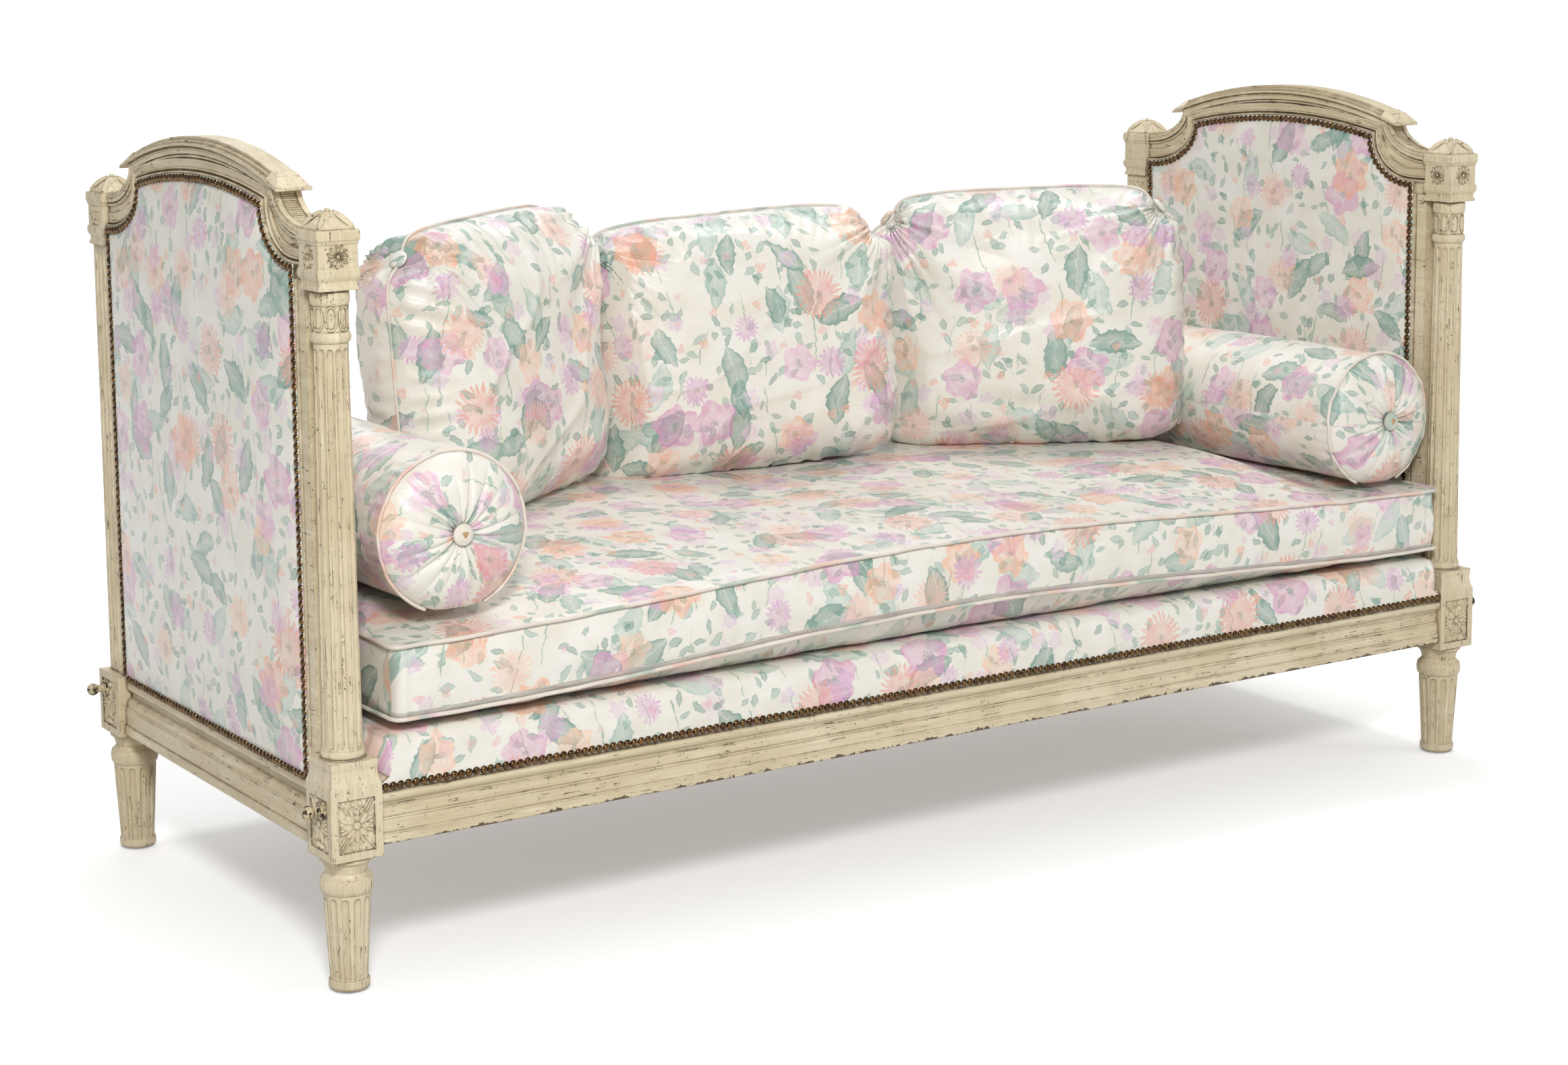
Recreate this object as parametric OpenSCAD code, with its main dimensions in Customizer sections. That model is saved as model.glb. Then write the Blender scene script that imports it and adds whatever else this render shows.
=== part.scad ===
// Upholstered daybed: two arched ends of equal height, padded on both faces, stand between
// fluted columns in front and fluted pilasters behind. Ball-headed bed bolts draw the two long
// rails against the corner blocks, so the ends come off. The seat is a nailed deck with a loose
// boxed cushion, a bolster at each end and three loose pillows.
// Millimetres, +Z up, +X along the length, front towards -Y, origin on the floor at the centre.

/* [Overall] */
// Length over the corner blocks
frame_length = 2074; // [1960:1:2200]
// Depth over the corner blocks
frame_depth = 814; // [780:1:860]
// Height of the corner blocks above the floor
leg_h = 182; // [160:1:210]
// Height of the capitals above the floor
capital_z = 920; // [880:1:960]

/* [Posts] */
// Width of a square corner block
block_w = 74; // [70:1:80]
// Height of a corner block
block_h = 92; // [88:1:104]
// Height of the plinth that carries a front column
plinth_h = 38; // [28:1:46]
// Radius of a column at its foot
column_foot_r = 26.2; // [24:0.1:27]
// Radius of a column at its top
column_top_r = 22.5; // [21:0.1:24]
// Width of a back pilaster
pilaster_w = 54; // [48:1:58]
// Thickness of a back pilaster
pilaster_t = 45; // [45:1:54]
// Largest width of a capital
capital_w = 61; // [58:1:66]
// Height of a capital
capital_h = 77; // [70:1:84]
// Height of the carved pyramid on a capital
finial_h = 22; // [16:1:30]
// Number of flutes round a column or a leg
flute_count = 12; // [8:1:14]

/* [End frames] */
// Thickness of the stiles and the crest rail
end_t = 44; // [40:1:46]
// Distance from the front post's axis to the nail line
nail_line_front = 64; // [60:1:72]
// Half the width of the arch between its two ears, on the nail line
ear_half = 212; // [190:1:230]
// Height of the concave shoulders
shoulder_h = 75; // [60:1:85]
// Rise of the arch from its ears to its crown, on the nail line
arch_rise = 21; // [12:1:30]
// Width of the crest rail at its crown
crest_w = 44; // [38:1:52]
// Thickness of the moulded cap on the crest
cap_t = 13; // [9:1:18]
// Width of the moulded cap
cap_w = 50; // [48:1:60]
// Height of the padding over the frame
pad_crown = 12; // [6:1:12]

/* [Rails] */
// Thickness of a long rail
rail_t = 44; // [36:1:50]
// Height of a long rail
rail_h = 87.5; // [80:0.5:90]
// Number of slats under the deck
slat_count = 14; // [10:1:18]

/* [Nails] */
// Diameter of a nail head
nail_d = 10.6; // [9:0.1:10.8]
// Distance between nails
nail_pitch = 11; // [11:0.1:14]
// Height of a nail head
nail_h = 2.6; // [1.5:0.1:3]

/* [Bed bolts] */
// Diameter of a bolt's ball
ball_d = 18; // [15:1:22]
// Diameter of a bolt's shank
shank_d = 10; // [8:0.5:12]
// Running clearance round a shank
shank_clear = 0.06; // [0.02:0.01:0.1]

/* [Seat] */
// Thickness of the padding on the deck
deck_t = 56; // [40:1:70]
// Height of the boxing of the seat cushion
boxing_h = 97; // [80:1:110]
// Crown of the seat cushion over the corners of its top seam
seat_crown = 51; // [46:1:60]
// Play of the seat cushion between the padded ends
seat_play = 38; // [32:1:90]
// Depth of the seat cushion
seat_depth = 782; // [740:1:786]

/* [Bolsters] */
// Diameter of a bolster
bolster_d = 212; // [190:1:213]
// Length of a bolster between the rims of its ends
bolster_length = 700; // [620:1:710]

/* [Pillows] */
// Width of the middle pillow
pillow_w = 560; // [520:1:570]
// Height of the middle pillow
pillow_h = 420; // [380:1:450]
// Thickness of a pillow
pillow_t = 228; // [190:1:236]

/* [Hidden] */

// Finishes
paint = "#e2d5b0";
chintz = "#ece6da";
piping_cloth = "#f0eadc";
old_brass = "#5a4b32";
steel = "#8c8878";
raw_wood = "#c4a06e";
jute = "#b09468";

// Clearances and overruns
over = 1;
soft_clear = 0.3;
spigot_clear = 0.05;
left = -1;
right = 1;
front = -1;
back = 1;

// Posts
post_x = frame_length / 2 - block_w / 2;
post_y = frame_depth / 2 - block_w / 2;
block_top = leg_h + block_h;
plinth_top = block_top + plinth_h;
capital_top = capital_z + capital_h;
glide_r = 15;
glide_h = 3;
leg_spigot_r = 12;
leg_spigot_h = 28;
column_spigot_r = 8;
column_spigot_h = 16;
plinth_ledge = 3.5;
plinth_bead = 1;
panel_margin = 11;
panel_depth = 2;

// Flutes
flute_r = 5;
flute_depth = 3.2;
leg_flute_margin = 9;
pilaster_flutes = 3;
pilaster_flute_pitch = 15;
pilaster_flute_margin = 16;

// Legs, from the floor up: foot ring, tapered shaft, collar, neck and head
foot_r = 27.2;
foot_top = 16;
foot_edge = 4;
leg_low_r = 24.8;
leg_high_r = 31.6;
collar_r = 35.5;
collar_t = 20;
collar_under = 47;
neck_r = 27;
neck_h = 16;
head_r = 34.8;
head_t = 8;

// Columns
base_r = 29;
base_h = 15;
astragal_r = 26.4;
astragal_h = 16;
drum_r = 22.5;
drum_h = 34;
echinus_r = 25.8;
echinus_h = 19;
cartouche_count = 8;
cartouche_r = 5;
cartouche_h = 28;
cartouche_proud = 1.4;

// End frames
land = 14;
nail_gap = 0.7;
nail_line_back = capital_w / 2 + nail_d / 2 + nail_gap;
front_line = post_y - nail_line_front;
back_line = post_y - nail_line_back;
nail_drop = 2.4;
nail_z = block_top - nail_drop;
shoulder_over = 23;
shoulder_z = capital_z + shoulder_over;
ear_z = shoulder_z + shoulder_h;
arch_r = (ear_half * ear_half + arch_rise * arch_rise) / (2 * arch_rise);
arch_zc = ear_z + arch_rise - arch_r;
crest_out = 36;
crest_drop = 2;
crest_ear_half = ear_half + crest_out;
crest_ear_rise = 28;
crest_ear_z = ear_z + crest_ear_rise;
crest_top = ear_z + arch_rise + crest_w;
crest_rise = crest_top - crest_ear_z;
crest_r = (crest_ear_half * crest_ear_half + crest_rise * crest_rise) / (2 * crest_rise);
crest_zc = crest_top - crest_r;
crest_end = post_y - capital_w / 2;
crest_end_z = capital_top - crest_drop;
crest_foot_z = shoulder_z - land;
band_w = 9;
outer_band_w = 11;
core_share = 0.74;
bead_share = 0.92;
cap_over = 24;
cap_step = 8;
cap_side_step = 4.8;
cap_lap = 0.5;
point_gap = 0.1;
scoop_steps = 7;
arch_steps = 14;
pad_base = 2;
pad_edge = 1;
flange_w = 6;
crown_shares = [[0.95, 0.42], [0.8, 0.78], [0.45, 0.97]];
web_w = 50;
web_t = 2;
web_columns = 4;
web_rows = 5;

// Rails
rail_inset = 3.5;
deck_lip = 2.2;
rail_over_nails = 11.4;
rail_top = nail_z + rail_over_nails;
rail_bottom = rail_top - rail_h;
rail_face = frame_depth / 2 - rail_inset;
rail_back = rail_face - rail_t;
rail_end = post_x - block_w / 2;
lip_margin = 2.3;
lip_gap = 1;
lip_bottom = nail_z - nail_d / 2 - lip_margin;
end_rail_end = post_y - block_w / 2;
end_rail_top = nail_z + land;
end_rail_bottom = leg_h + 4;
cleat_w = 22;
cleat_h = 25;
slat_t = 18;
slat_w = 80;
slat_margin = 70;

// Bolts
bolt_y = rail_face - rail_t / 2;
bolt_drop = 25;
bolt_z = block_top - bolt_drop;
washer_r = 12;
washer_t = 3;
washer_land = 1.5;
shank_r = shank_d / 2;
bore_r = shank_r + shank_clear;
bolt_reach = 52;
collar_flange_r = 9;
collar_flange_t = 2;
bolt_neck_r = 5.5;
ball_out = 17;
bar_hole_r = 2.4;
nut_r = 8;
nut_l = 30;
nut_in = 34;

// Deck
deck_end_gap = 13;
deck_half = rail_end - deck_end_gap;
deck_edge_r = 24;
deck_set_back = 0.5;
deck_half_depth = rail_face - deck_set_back;
deck_bottom = rail_top;
deck_top = deck_bottom + deck_t;

// Seat cushion
seat_x0 = 9;
seat_y0 = -8;
seat_length = 2 * (post_x - end_t / 2 - pad_edge - pad_crown) - seat_play;
seat_half = seat_length / 2;
seat_half_depth = seat_depth / 2;
seat_corner_r = 14;
seat_bulge = 6;
low_seam_rise = 16;
seam_arch = 32;
back_seam_rise = 9;
seam_low = deck_top + low_seam_rise;
seam_high = seam_low + boxing_h;
seat_top = seam_high + seat_crown;
end_ramp = 44;
front_ramp = 360;
back_ramp = 80;
under_ramp = 60;
bolster_flat = 57;
bolster_ramp = 100;
piping_r = 3;
x_shares = [0, 0.008, 0.02, 0.045, 0.08, 0.12, 0.17, 0.215, 0.25, 0.29, 0.4, 0.55, 0.7, 0.85, 1];
top_shares = [0, 0.04, 0.1, 0.18, 0.28, 0.4, 0.5, 0.66, 0.79, 0.895, 0.94, 0.975, 1];
under_shares = [0, 0.03, 0.08, 0.35, 0.65, 0.92, 0.97, 1];
seam_end_shares = [0.2, 0.4, 0.6, 0.8];

// Bolsters
bolster_r = bolster_d / 2;
bolster_half = bolster_length / 2;
bolster_in = [172, 143];
bolster_x = [bolster_in[0] - post_x, post_x - bolster_in[1]];
bolster_y = -10;
bolster_sink = [19, 33];
bolster_press = 4;
bolster_sides = 36;
bolster_shoulder = 9;
end_dome = 34;
end_dome_shares = [[0.8, 0.165], [1, 0.28], [0.95, 0.48], [0.74, 0.7], [0.36, 0.9]];
pleat_depth = 2.6;
button_r = 15;
button_t = 8;
rim_piping_r = 2.5;
button_shares = [[0.8, 0], [1, 0.3], [0.96, 0.6], [0.75, 0.85], [0.4, 0.97], [0, 1]];

// Pillows: middle in plan, turn about the upright, width, height and roll in its own plane.
// Their places along the seat and their sizes are shares of the frame's and the middle pillow's.
pillow_sides = 48;
pillow_squareness = 5.5;
pillow_press = 8;
pillow_lean = 3;
pillow_piping_r = 2.25;
pillow_x_shares = [-0.486, 0, 0.54];
pillow_y = [172, 237, 148];
pillow_turn_angle = [29, -11, -35];
pillow_roll_angle = [-2, 3, 2];
pillow_w_shares = [0.88, 1, 0.946];
pillow_h_shares = [1.069, 1, 1.038];
pillow_places = [for (i = [0:2]) [
    pillow_x_shares[i] * post_x, pillow_y[i], pillow_turn_angle[i],
    pillow_w_shares[i] * pillow_w, pillow_h_shares[i] * pillow_h, pillow_roll_angle[i]
]];
bulge_power = 4;
gather_share = 0.16;
gathers = 3;
pillow_ring_shares = [0.35, 0.62, 0.8, 0.92, 0.98];
pillow_button_r = 13;
pillow_button_t = 7;
button_out_share = 1.8;
pillow_piping_steps = 40;
piping_first_angle = -38;
piping_last_angle = 218;
// Upright planes between neighbours: a point in plan and the way across to the right
bound_x_shares = [-0.268, 0.3];
bound_y = [280, 255];
bound_angle = [26, 17];
pillow_bounds = [
    [[bolster_x[0] + bolster_r, 0], 0],
    [[bound_x_shares[0] * post_x, bound_y[0]], bound_angle[0]],
    [[bound_x_shares[1] * post_x, bound_y[1]], bound_angle[1]],
    [[bolster_x[1] - bolster_r, 0], 0]
];

// General helpers
module to_side(sx) {
    if (sx < 0) mirror([1, 0, 0]) children();
    else children();
}

module to_face(sy) {
    if (sy < 0) mirror([0, 1, 0]) children();
    else children();
}

module to_corner(sx, sy) {
    to_side(sx) to_face(sy) children();
}

module x_prism(points, x0, x1) {
    translate([x0, 0, 0]) rotate([90, 0, 90]) linear_extrude(x1 - x0) polygon(points);
}

module y_prism(points, y0, y1) {
    translate([0, y1, 0]) rotate([90, 0, 0]) linear_extrude(y1 - y0) polygon(points);
}

module x_cylinder(x0, x1, r) {
    translate([x0, 0, 0]) rotate([0, 90, 0]) cylinder(h = x1 - x0, r = r, $fn = 48);
}

function reversed(list) = [for (i = [len(list) - 1:-1:0]) list[i]];

function mirrored_profile(profile) =
    concat(profile, reversed([for (p = profile) [-p[0], p[1]]]));

// A square moulding: the same profile of half width and height on all four sides
module square_moulding(profile) {
    reach = 2 * max([for (p = profile) p[0]]);
    intersection() {
        y_prism(mirrored_profile(profile), -reach, reach);
        x_prism(mirrored_profile(profile), -reach, reach);
    }
}

// Points of a bulging half round from height z0 to z1, starting and ending at radius r0
function half_round(r0, r1, z0, z1, steps = 6) =
    [for (i = [0:steps]) let (a = 180 * i / steps)
        [r0 + (r1 - r0) * sin(a), (z0 + z1) / 2 - (z1 - z0) / 2 * cos(a)]];

// Flute cutters with round ends round a shaft that tapers from r0 at z0 to r1 at z1
module flute_cutters(count, r0, r1, z0, z1) {
    rise = z1 - z0;
    tilt = atan((r1 - r0) / rise);
    for (i = [0:count - 1])
        rotate([0, 0, 360 * i / count])
        translate([r0 + flute_r - flute_depth, 0, z0])
        rotate([0, tilt, 0]) {
            cylinder(h = rise / cos(tilt), r = flute_r, $fn = 24);
            sphere(r = flute_r, $fn = 24);
            translate([0, 0, rise / cos(tilt)]) sphere(r = flute_r, $fn = 24);
        }
}

// Closed skin over rings of equal size, with a middle point at each end
function skin_faces(m, n) = concat(
    [for (i = [0:m - 2], j = [0:n - 1], k = [0, 1])
        let (a = i * n + j, b = i * n + (j + 1) % n)
        k == 0 ? [a, a + n, b + n] : [a, b + n, b]],
    [for (j = [0:n - 1]) [m * n, j, (j + 1) % n]],
    [for (j = [0:n - 1]) [m * n + 1, (m - 1) * n + (j + 1) % n, (m - 1) * n + j]]
);

module skin(rings, start, end) {
    n = len(rings[0]);
    m = len(rings);
    polyhedron(points = concat([for (r = rings) each r], [start, end]), faces = skin_faces(m, n));
}

function unit(v) = v / norm(v);

// Rings of a tube of radius r and a number of sides along a path of points
function tube_rings(path, r, sides, closed) = [
    for (i = [0:len(path) - 1])
    let (
        last = len(path) - 1,
        before = closed ? path[(i + last) % (last + 1)] : path[max(i - 1, 0)],
        after = closed ? path[(i + 1) % (last + 1)] : path[min(i + 1, last)],
        way = unit(after - before),
        guide = abs(way[2]) > 0.9 ? [0, 1, 0] : [0, 0, 1],
        out = unit(cross(way, guide)),
        rise = cross(out, way)
    )
    [for (k = [0:sides - 1]) let (a = 360 * k / sides)
        path[i] + r * (cos(a) * out + sin(a) * rise)]
];

module open_tube(path, r, sides) {
    skin(reversed(tube_rings(path, r, sides, false)), path[len(path) - 1], path[0]);
}

function loop_faces(m, n) =
    [for (i = [0:m - 1], j = [0:n - 1], k = [0, 1])
        let (
            a = i * n + j,
            b = i * n + (j + 1) % n,
            c = ((i + 1) % m) * n + j,
            d = ((i + 1) % m) * n + (j + 1) % n
        )
        k == 0 ? [a, d, c] : [a, b, d]];

module closed_tube(path, r, sides) {
    rings = tube_rings(path, r, sides, true);
    polyhedron(points = [for (q = rings) each q], faces = loop_faces(len(rings), sides));
}

// Foot glides
module foot_glides() {
    color(steel)
    for (sx = [left, right], sy = [front, back])
        translate([sx * post_x, sy * post_y, 0]) cylinder(h = glide_h, r = glide_r, $fn = 48);
}

// Turned legs
function leg_profile() =
    let (
        collar_z0 = leg_h - collar_under,
        collar_z1 = collar_z0 + collar_t,
        neck_z = collar_z1 + (neck_h - foot_edge) / 2,
        head_z = leg_h - head_t
    )
    concat(
        [[0, glide_h], [foot_r - foot_edge / 2, glide_h], [foot_r, glide_h + foot_edge],
            [foot_r, foot_top - foot_edge / 2], [foot_r - foot_edge / 2, foot_top],
            [leg_low_r, foot_top], [leg_high_r, collar_z0 - foot_edge / 2]],
        half_round(leg_high_r, collar_r, collar_z0 - foot_edge / 2, collar_z1),
        [[leg_high_r - foot_edge / 2, collar_z1 + foot_edge / 2], [neck_r, neck_z],
            [neck_r + foot_edge / 4, neck_z + foot_edge], [head_r - foot_edge, head_z - foot_edge / 4],
            [head_r, head_z + foot_edge / 2], [head_r, leg_h - foot_edge / 2],
            [head_r - foot_edge / 4, leg_h], [leg_spigot_r - spigot_clear, leg_h],
            [leg_spigot_r - spigot_clear, leg_h + leg_spigot_h], [0, leg_h + leg_spigot_h]]
    );

module leg(sx, sy) {
    shaft_top = leg_h - collar_under - foot_edge / 2;
    shaft_h = shaft_top - foot_top;
    slope = (leg_high_r - leg_low_r) / shaft_h;
    color(paint)
    translate([sx * post_x, sy * post_y, 0])
    difference() {
        rotate_extrude($fn = 96) polygon(leg_profile());
        flute_cutters(flute_count, leg_low_r + slope * leg_flute_margin / 2,
            leg_high_r - slope * leg_flute_margin,
            foot_top + leg_flute_margin / 2, shaft_top - leg_flute_margin);
    }
}

// Corner blocks, built for the back right corner: their outward faces are +X and +Y
module carved_panel(height) {
    w = block_w - 2 * panel_margin;
    h = height - 2 * panel_margin;
    translate([-w / 2, -h / 2, -panel_depth]) cube([w, h, panel_depth + over]);
}

function plinth_profile() =
    let (top = base_r + plinth_ledge, half = block_w / 2)
    [[half, block_top], [half, block_top + plinth_h * 0.12],
        [half - (half - top) * 0.7, block_top + plinth_h * 0.35],
        [top, block_top + plinth_h * 0.68], [top + plinth_bead, block_top + plinth_h * 0.8],
        [top + plinth_bead, plinth_top]];

module corner_block(sx, sy) {
    color(paint)
    to_corner(sx, sy)
    difference() {
        union() {
            translate([post_x - block_w / 2, post_y - block_w / 2, leg_h])
                cube([block_w, block_w, block_h]);
            if (sy == front) translate([post_x, post_y, 0]) square_moulding(plinth_profile());
        }
        translate([post_x, post_y + block_w / 2, leg_h + block_h / 2]) rotate([-90, 0, 0])
            carved_panel(block_h);
        difference() {
            translate([post_x + block_w / 2, post_y, leg_h + block_h / 2]) rotate([90, 0, 90])
                carved_panel(block_h);
            translate([0, bolt_y, bolt_z]) x_cylinder(post_x, post_x + block_w, washer_r + washer_land);
        }
        translate([post_x, post_y, leg_h - over])
            cylinder(h = leg_spigot_h + 2 * over, r = leg_spigot_r, $fn = 48);
        if (sy == front) translate([post_x, post_y, plinth_top - column_spigot_h - over])
            cylinder(h = column_spigot_h + 2 * over, r = column_spigot_r, $fn = 48);
        translate([0, bolt_y, bolt_z]) x_cylinder(post_x - block_w, post_x + block_w, bore_r);
    }
}

// Front columns
function column_profile() =
    let (
        foot = plinth_top + base_h,
        echinus_z = capital_z - echinus_h,
        drum_z = echinus_z - drum_h,
        shaft_top = drum_z - astragal_h,
        step = base_h / 10
    )
    concat(
        [[0, plinth_top - column_spigot_h], [column_spigot_r - spigot_clear, plinth_top - column_spigot_h],
            [column_spigot_r - spigot_clear, plinth_top], [base_r, plinth_top]],
        half_round(base_r - step, base_r, plinth_top + step, foot - 2 * step, 5),
        [[column_foot_r + step, foot - step], [column_foot_r, foot], [column_top_r, shaft_top]],
        half_round(column_top_r, astragal_r, shaft_top + step, drum_z),
        [[drum_r, drum_z + step], [drum_r, echinus_z - step]],
        half_round(drum_r + step, echinus_r, echinus_z, capital_z - step),
        [[drum_r + step, capital_z], [column_spigot_r - spigot_clear, capital_z],
            [column_spigot_r - spigot_clear, capital_z + column_spigot_h], [0, capital_z + column_spigot_h]]
    );

module column(sx) {
    shaft_top = capital_z - echinus_h - drum_h - astragal_h;
    flute_z0 = plinth_top + base_h + flute_r;
    flute_z1 = shaft_top - 2 * flute_r;
    drum_mid = capital_z - echinus_h - drum_h / 2;
    straight = cartouche_h - 2 * cartouche_r;
    color(paint)
    translate([sx * post_x, front * post_y, 0])
    difference() {
        union() {
            rotate_extrude($fn = 96) polygon(column_profile());
            for (i = [0:cartouche_count - 1])
                rotate([0, 0, 360 * (i + 0.5) / cartouche_count])
                translate([drum_r + cartouche_proud - cartouche_r, 0, drum_mid - straight / 2]) {
                    cylinder(h = straight, r = cartouche_r, $fn = 24);
                    sphere(r = cartouche_r, $fn = 24);
                    translate([0, 0, straight]) sphere(r = cartouche_r, $fn = 24);
                }
        }
        flute_cutters(flute_count, column_foot_r, column_top_r, flute_z0, flute_z1);
    }
}

// Back pilasters, built for the right end
module pilaster_flute_cutters() {
    foot = block_top + pilaster_flute_margin;
    rise = capital_z - pilaster_flute_margin - foot;
    for (i = [0:pilaster_flutes - 1])
        translate([0, (i - (pilaster_flutes - 1) / 2) * pilaster_flute_pitch, foot]) {
            cylinder(h = rise, r = flute_r, $fn = 24);
            sphere(r = flute_r, $fn = 24);
            translate([0, 0, rise]) sphere(r = flute_r, $fn = 24);
        }
}

module pilaster(sx) {
    color(paint)
    to_side(sx)
    difference() {
        translate([post_x - pilaster_t / 2, post_y - pilaster_w / 2, block_top])
            cube([pilaster_t, pilaster_w, capital_z - block_top]);
        for (s = [-1, 1])
            translate([post_x + s * (pilaster_t / 2 + flute_r - flute_depth), post_y, 0])
            pilaster_flute_cutters();
    }
}

// Capitals
function capital_profile() =
    let (half = capital_w / 2, z = capital_z, h = capital_h, e = capital_w / 40)
    [[half - 1.4 * e, z], [half - 1.4 * e, z + h * 0.04], [half - 2.6 * e, z + h * 0.09],
        [half - 2.6 * e, z + h * 0.15], [half - e, z + h * 0.2], [half - e / 3, z + h * 0.24],
        [half - e / 3, z + h * 0.32], [half - e, z + h * 0.35], [half - 1.7 * e, z + h * 0.37],
        [half - 1.7 * e, z + h * 0.75], [half - e, z + h * 0.77], [half - e, z + h * 0.8],
        [half, z + h * 0.83], [half, z + h * 0.96], [half - 0.7 * e, capital_top]];

module capital(sx, sy) {
    color(paint)
    translate([sx * post_x, sy * post_y, 0])
    difference() {
        square_moulding(capital_profile());
        if (sy == front) translate([0, 0, capital_z - over])
            cylinder(h = column_spigot_h + 2 * over, r = column_spigot_r, $fn = 48);
    }
}

// Carved pyramids with a knob
function finial_profile() =
    let (half = capital_w / 2 - capital_w / 14, z = capital_top, h = finial_h)
    [[half, z], [half * 0.97, z + h * 0.1], [half * 0.74, z + h * 0.34], [half * 0.5, z + h * 0.6],
        [half * 0.32, z + h * 0.82], [half * 0.2, z + h]];

module finials() {
    knob_r = finial_h / 4.8;
    color(paint)
    for (sx = [left, right], sy = [front, back])
        translate([sx * post_x, sy * post_y, 0]) {
            square_moulding(finial_profile());
            translate([0, 0, capital_top + finial_h]) sphere(r = knob_r, $fn = 32);
        }
}

// Outline of an end panel in depth and height, d outside its nail line.
// It starts at the front bottom corner and runs round by the back.
function shoulder_points(line, d) =
    let (
        a = line - ear_half - d,
        b = shoulder_h - d,
        ear_y = ear_half + d,
        arch_z = arch_zc + sqrt(pow(arch_r + d, 2) - ear_y * ear_y),
        start = d < 0 ? asin(-d / a) : 0,
        finish = d < 0 ? 90 - asin(min(1, (ear_z - arch_z) / b)) : 90,
        lead = d > 0 ? 0 : land / 2
    )
    concat(
        [[line + d, ear_z - b * cos(start) - lead]],
        [for (i = [0:scoop_steps]) let (t = start + (finish - start) * i / scoop_steps)
            [line - a * sin(t), ear_z - b * cos(t)]]
    );

function arch_points(d) =
    let (half = ear_half + d)
    [for (i = [0:arch_steps]) let (y = half * (1 - 2 * i / arch_steps))
        [y, arch_zc + sqrt(pow(arch_r + d, 2) - y * y)]];

function panel_outline(d) = concat(
    [[-front_line - d, nail_z - d], [back_line + d, nail_z - d]],
    shoulder_points(back_line, d),
    arch_points(d),
    reversed([for (p = shoulder_points(front_line, d)) [-p[0], p[1]]])
);

// The part of the outline that borders the crest rail, cut level at its foot
function crest_inner(d) = [for (p = panel_outline(d)) if (p[1] > crest_foot_z - over) p];

// Outer edge of the crest rail, e inside its outermost line, from the back to the front
function crest_scoop(e) =
    let (a = crest_end - crest_ear_half + e, b = crest_ear_z - crest_end_z + e)
    [for (i = [0:scoop_steps]) let (t = 90 * i / scoop_steps)
        [crest_end - a * sin(t), crest_ear_z - b * cos(t)]];

function crest_arch(e) =
    let (half = crest_ear_half - e)
    [for (i = [0:arch_steps]) let (y = half * (1 - 2 * i / arch_steps))
        [y, crest_zc + sqrt(pow(crest_r - e, 2) - y * y)]];

function low_scoop(e) =
    let (limit = crest_zc + sqrt(pow(crest_r - e, 2) - pow(crest_ear_half - e, 2)))
    [for (p = crest_scoop(e)) if (p[1] < limit - point_gap) p];

function crest_outer(e) = concat(
    low_scoop(e),
    crest_arch(e),
    reversed([for (p = low_scoop(e)) [-p[0], p[1]]])
);

// Crest rail, its bands standing proud of its core, on both faces
module crest_band(outer, inner, thick) {
    x_prism(concat(outer, reversed(inner)), post_x - thick / 2, post_x + thick / 2);
}

module crest_rail(sx) {
    foot_back = [[back_line - land, crest_foot_z], [crest_end, crest_foot_z]];
    foot_front = [[-crest_end, crest_foot_z], [-front_line + land, crest_foot_z]];
    color(paint)
    to_side(sx)
    intersection() {
        union() {
            crest_band(concat(foot_back, crest_outer(0), foot_front), crest_inner(-land),
                core_share * end_t);
            crest_band(crest_inner(-land), crest_inner(band_w), end_t);
            crest_band(crest_outer(0), crest_outer(outer_band_w), bead_share * end_t);
        }
        translate([post_x - end_t / 2, -crest_end, crest_foot_z])
            cube([end_t, 2 * crest_end, crest_top - crest_foot_z]);
    }
}

// Moulded cap that lies along the arch of the crest rail, in three steps
function cap_ys() =
    let (reach = crest_ear_half + cap_over)
    concat([reach], [for (p = crest_arch(0)) p[0]], [-reach]);

function cap_line(rise, shorten) =
    [for (at = cap_ys()) let (y = at * (1 - shorten / (crest_ear_half + cap_over)))
        [y, crest_zc + rise + sqrt(crest_r * crest_r - y * y)]];

module crest_cap(sx) {
    color(paint)
    to_side(sx)
    for (i = [0:2]) {
        half = cap_w / 2 - i * cap_side_step;
        under = max(0, i - cap_lap) * cap_t / 3;
        upper = (i + 1) * cap_t / 3;
        x_prism(concat(cap_line(under, i * cap_step), reversed(cap_line(upper, i * cap_step))),
            post_x - half, post_x + half);
    }
}

// Stiles: the front one is moulded beside the nails, the back one lies under them
function stile_plan(outer) =
    let (
        inner = front_line - land,
        nail_edge = front_line + band_w,
        half = end_t / 2,
        x = post_x
    )
    [[x - half, inner], [x - half, nail_edge], [x - core_share * half, nail_edge + band_w / 4],
        [x - bead_share * half, nail_edge + band_w / 2], [x - bead_share * half, outer],
        [x + bead_share * half, outer], [x + bead_share * half, nail_edge + band_w / 2],
        [x + core_share * half, nail_edge + band_w / 4], [x + half, nail_edge], [x + half, inner]];

module front_stile(sx) {
    color(paint)
    to_corner(sx, front) {
        translate([0, 0, end_rail_top]) linear_extrude(crest_foot_z - end_rail_top)
            polygon(stile_plan(min(post_y - block_w / 2, crest_end)));
        translate([0, 0, plinth_top]) linear_extrude(crest_foot_z - plinth_top)
            polygon(stile_plan(crest_end));
    }
}

module back_stile(sx) {
    inner = back_line - land;
    side = post_y - pilaster_w / 2;
    color(paint)
    to_side(sx) {
        translate([post_x - end_t / 2, inner, end_rail_top])
            cube([end_t, crest_end - inner, crest_foot_z - end_rail_top]);
        translate([post_x - end_t / 2, end_rail_end, block_top])
            cube([end_t, side - end_rail_end, capital_z - block_top]);
    }
}

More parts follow.
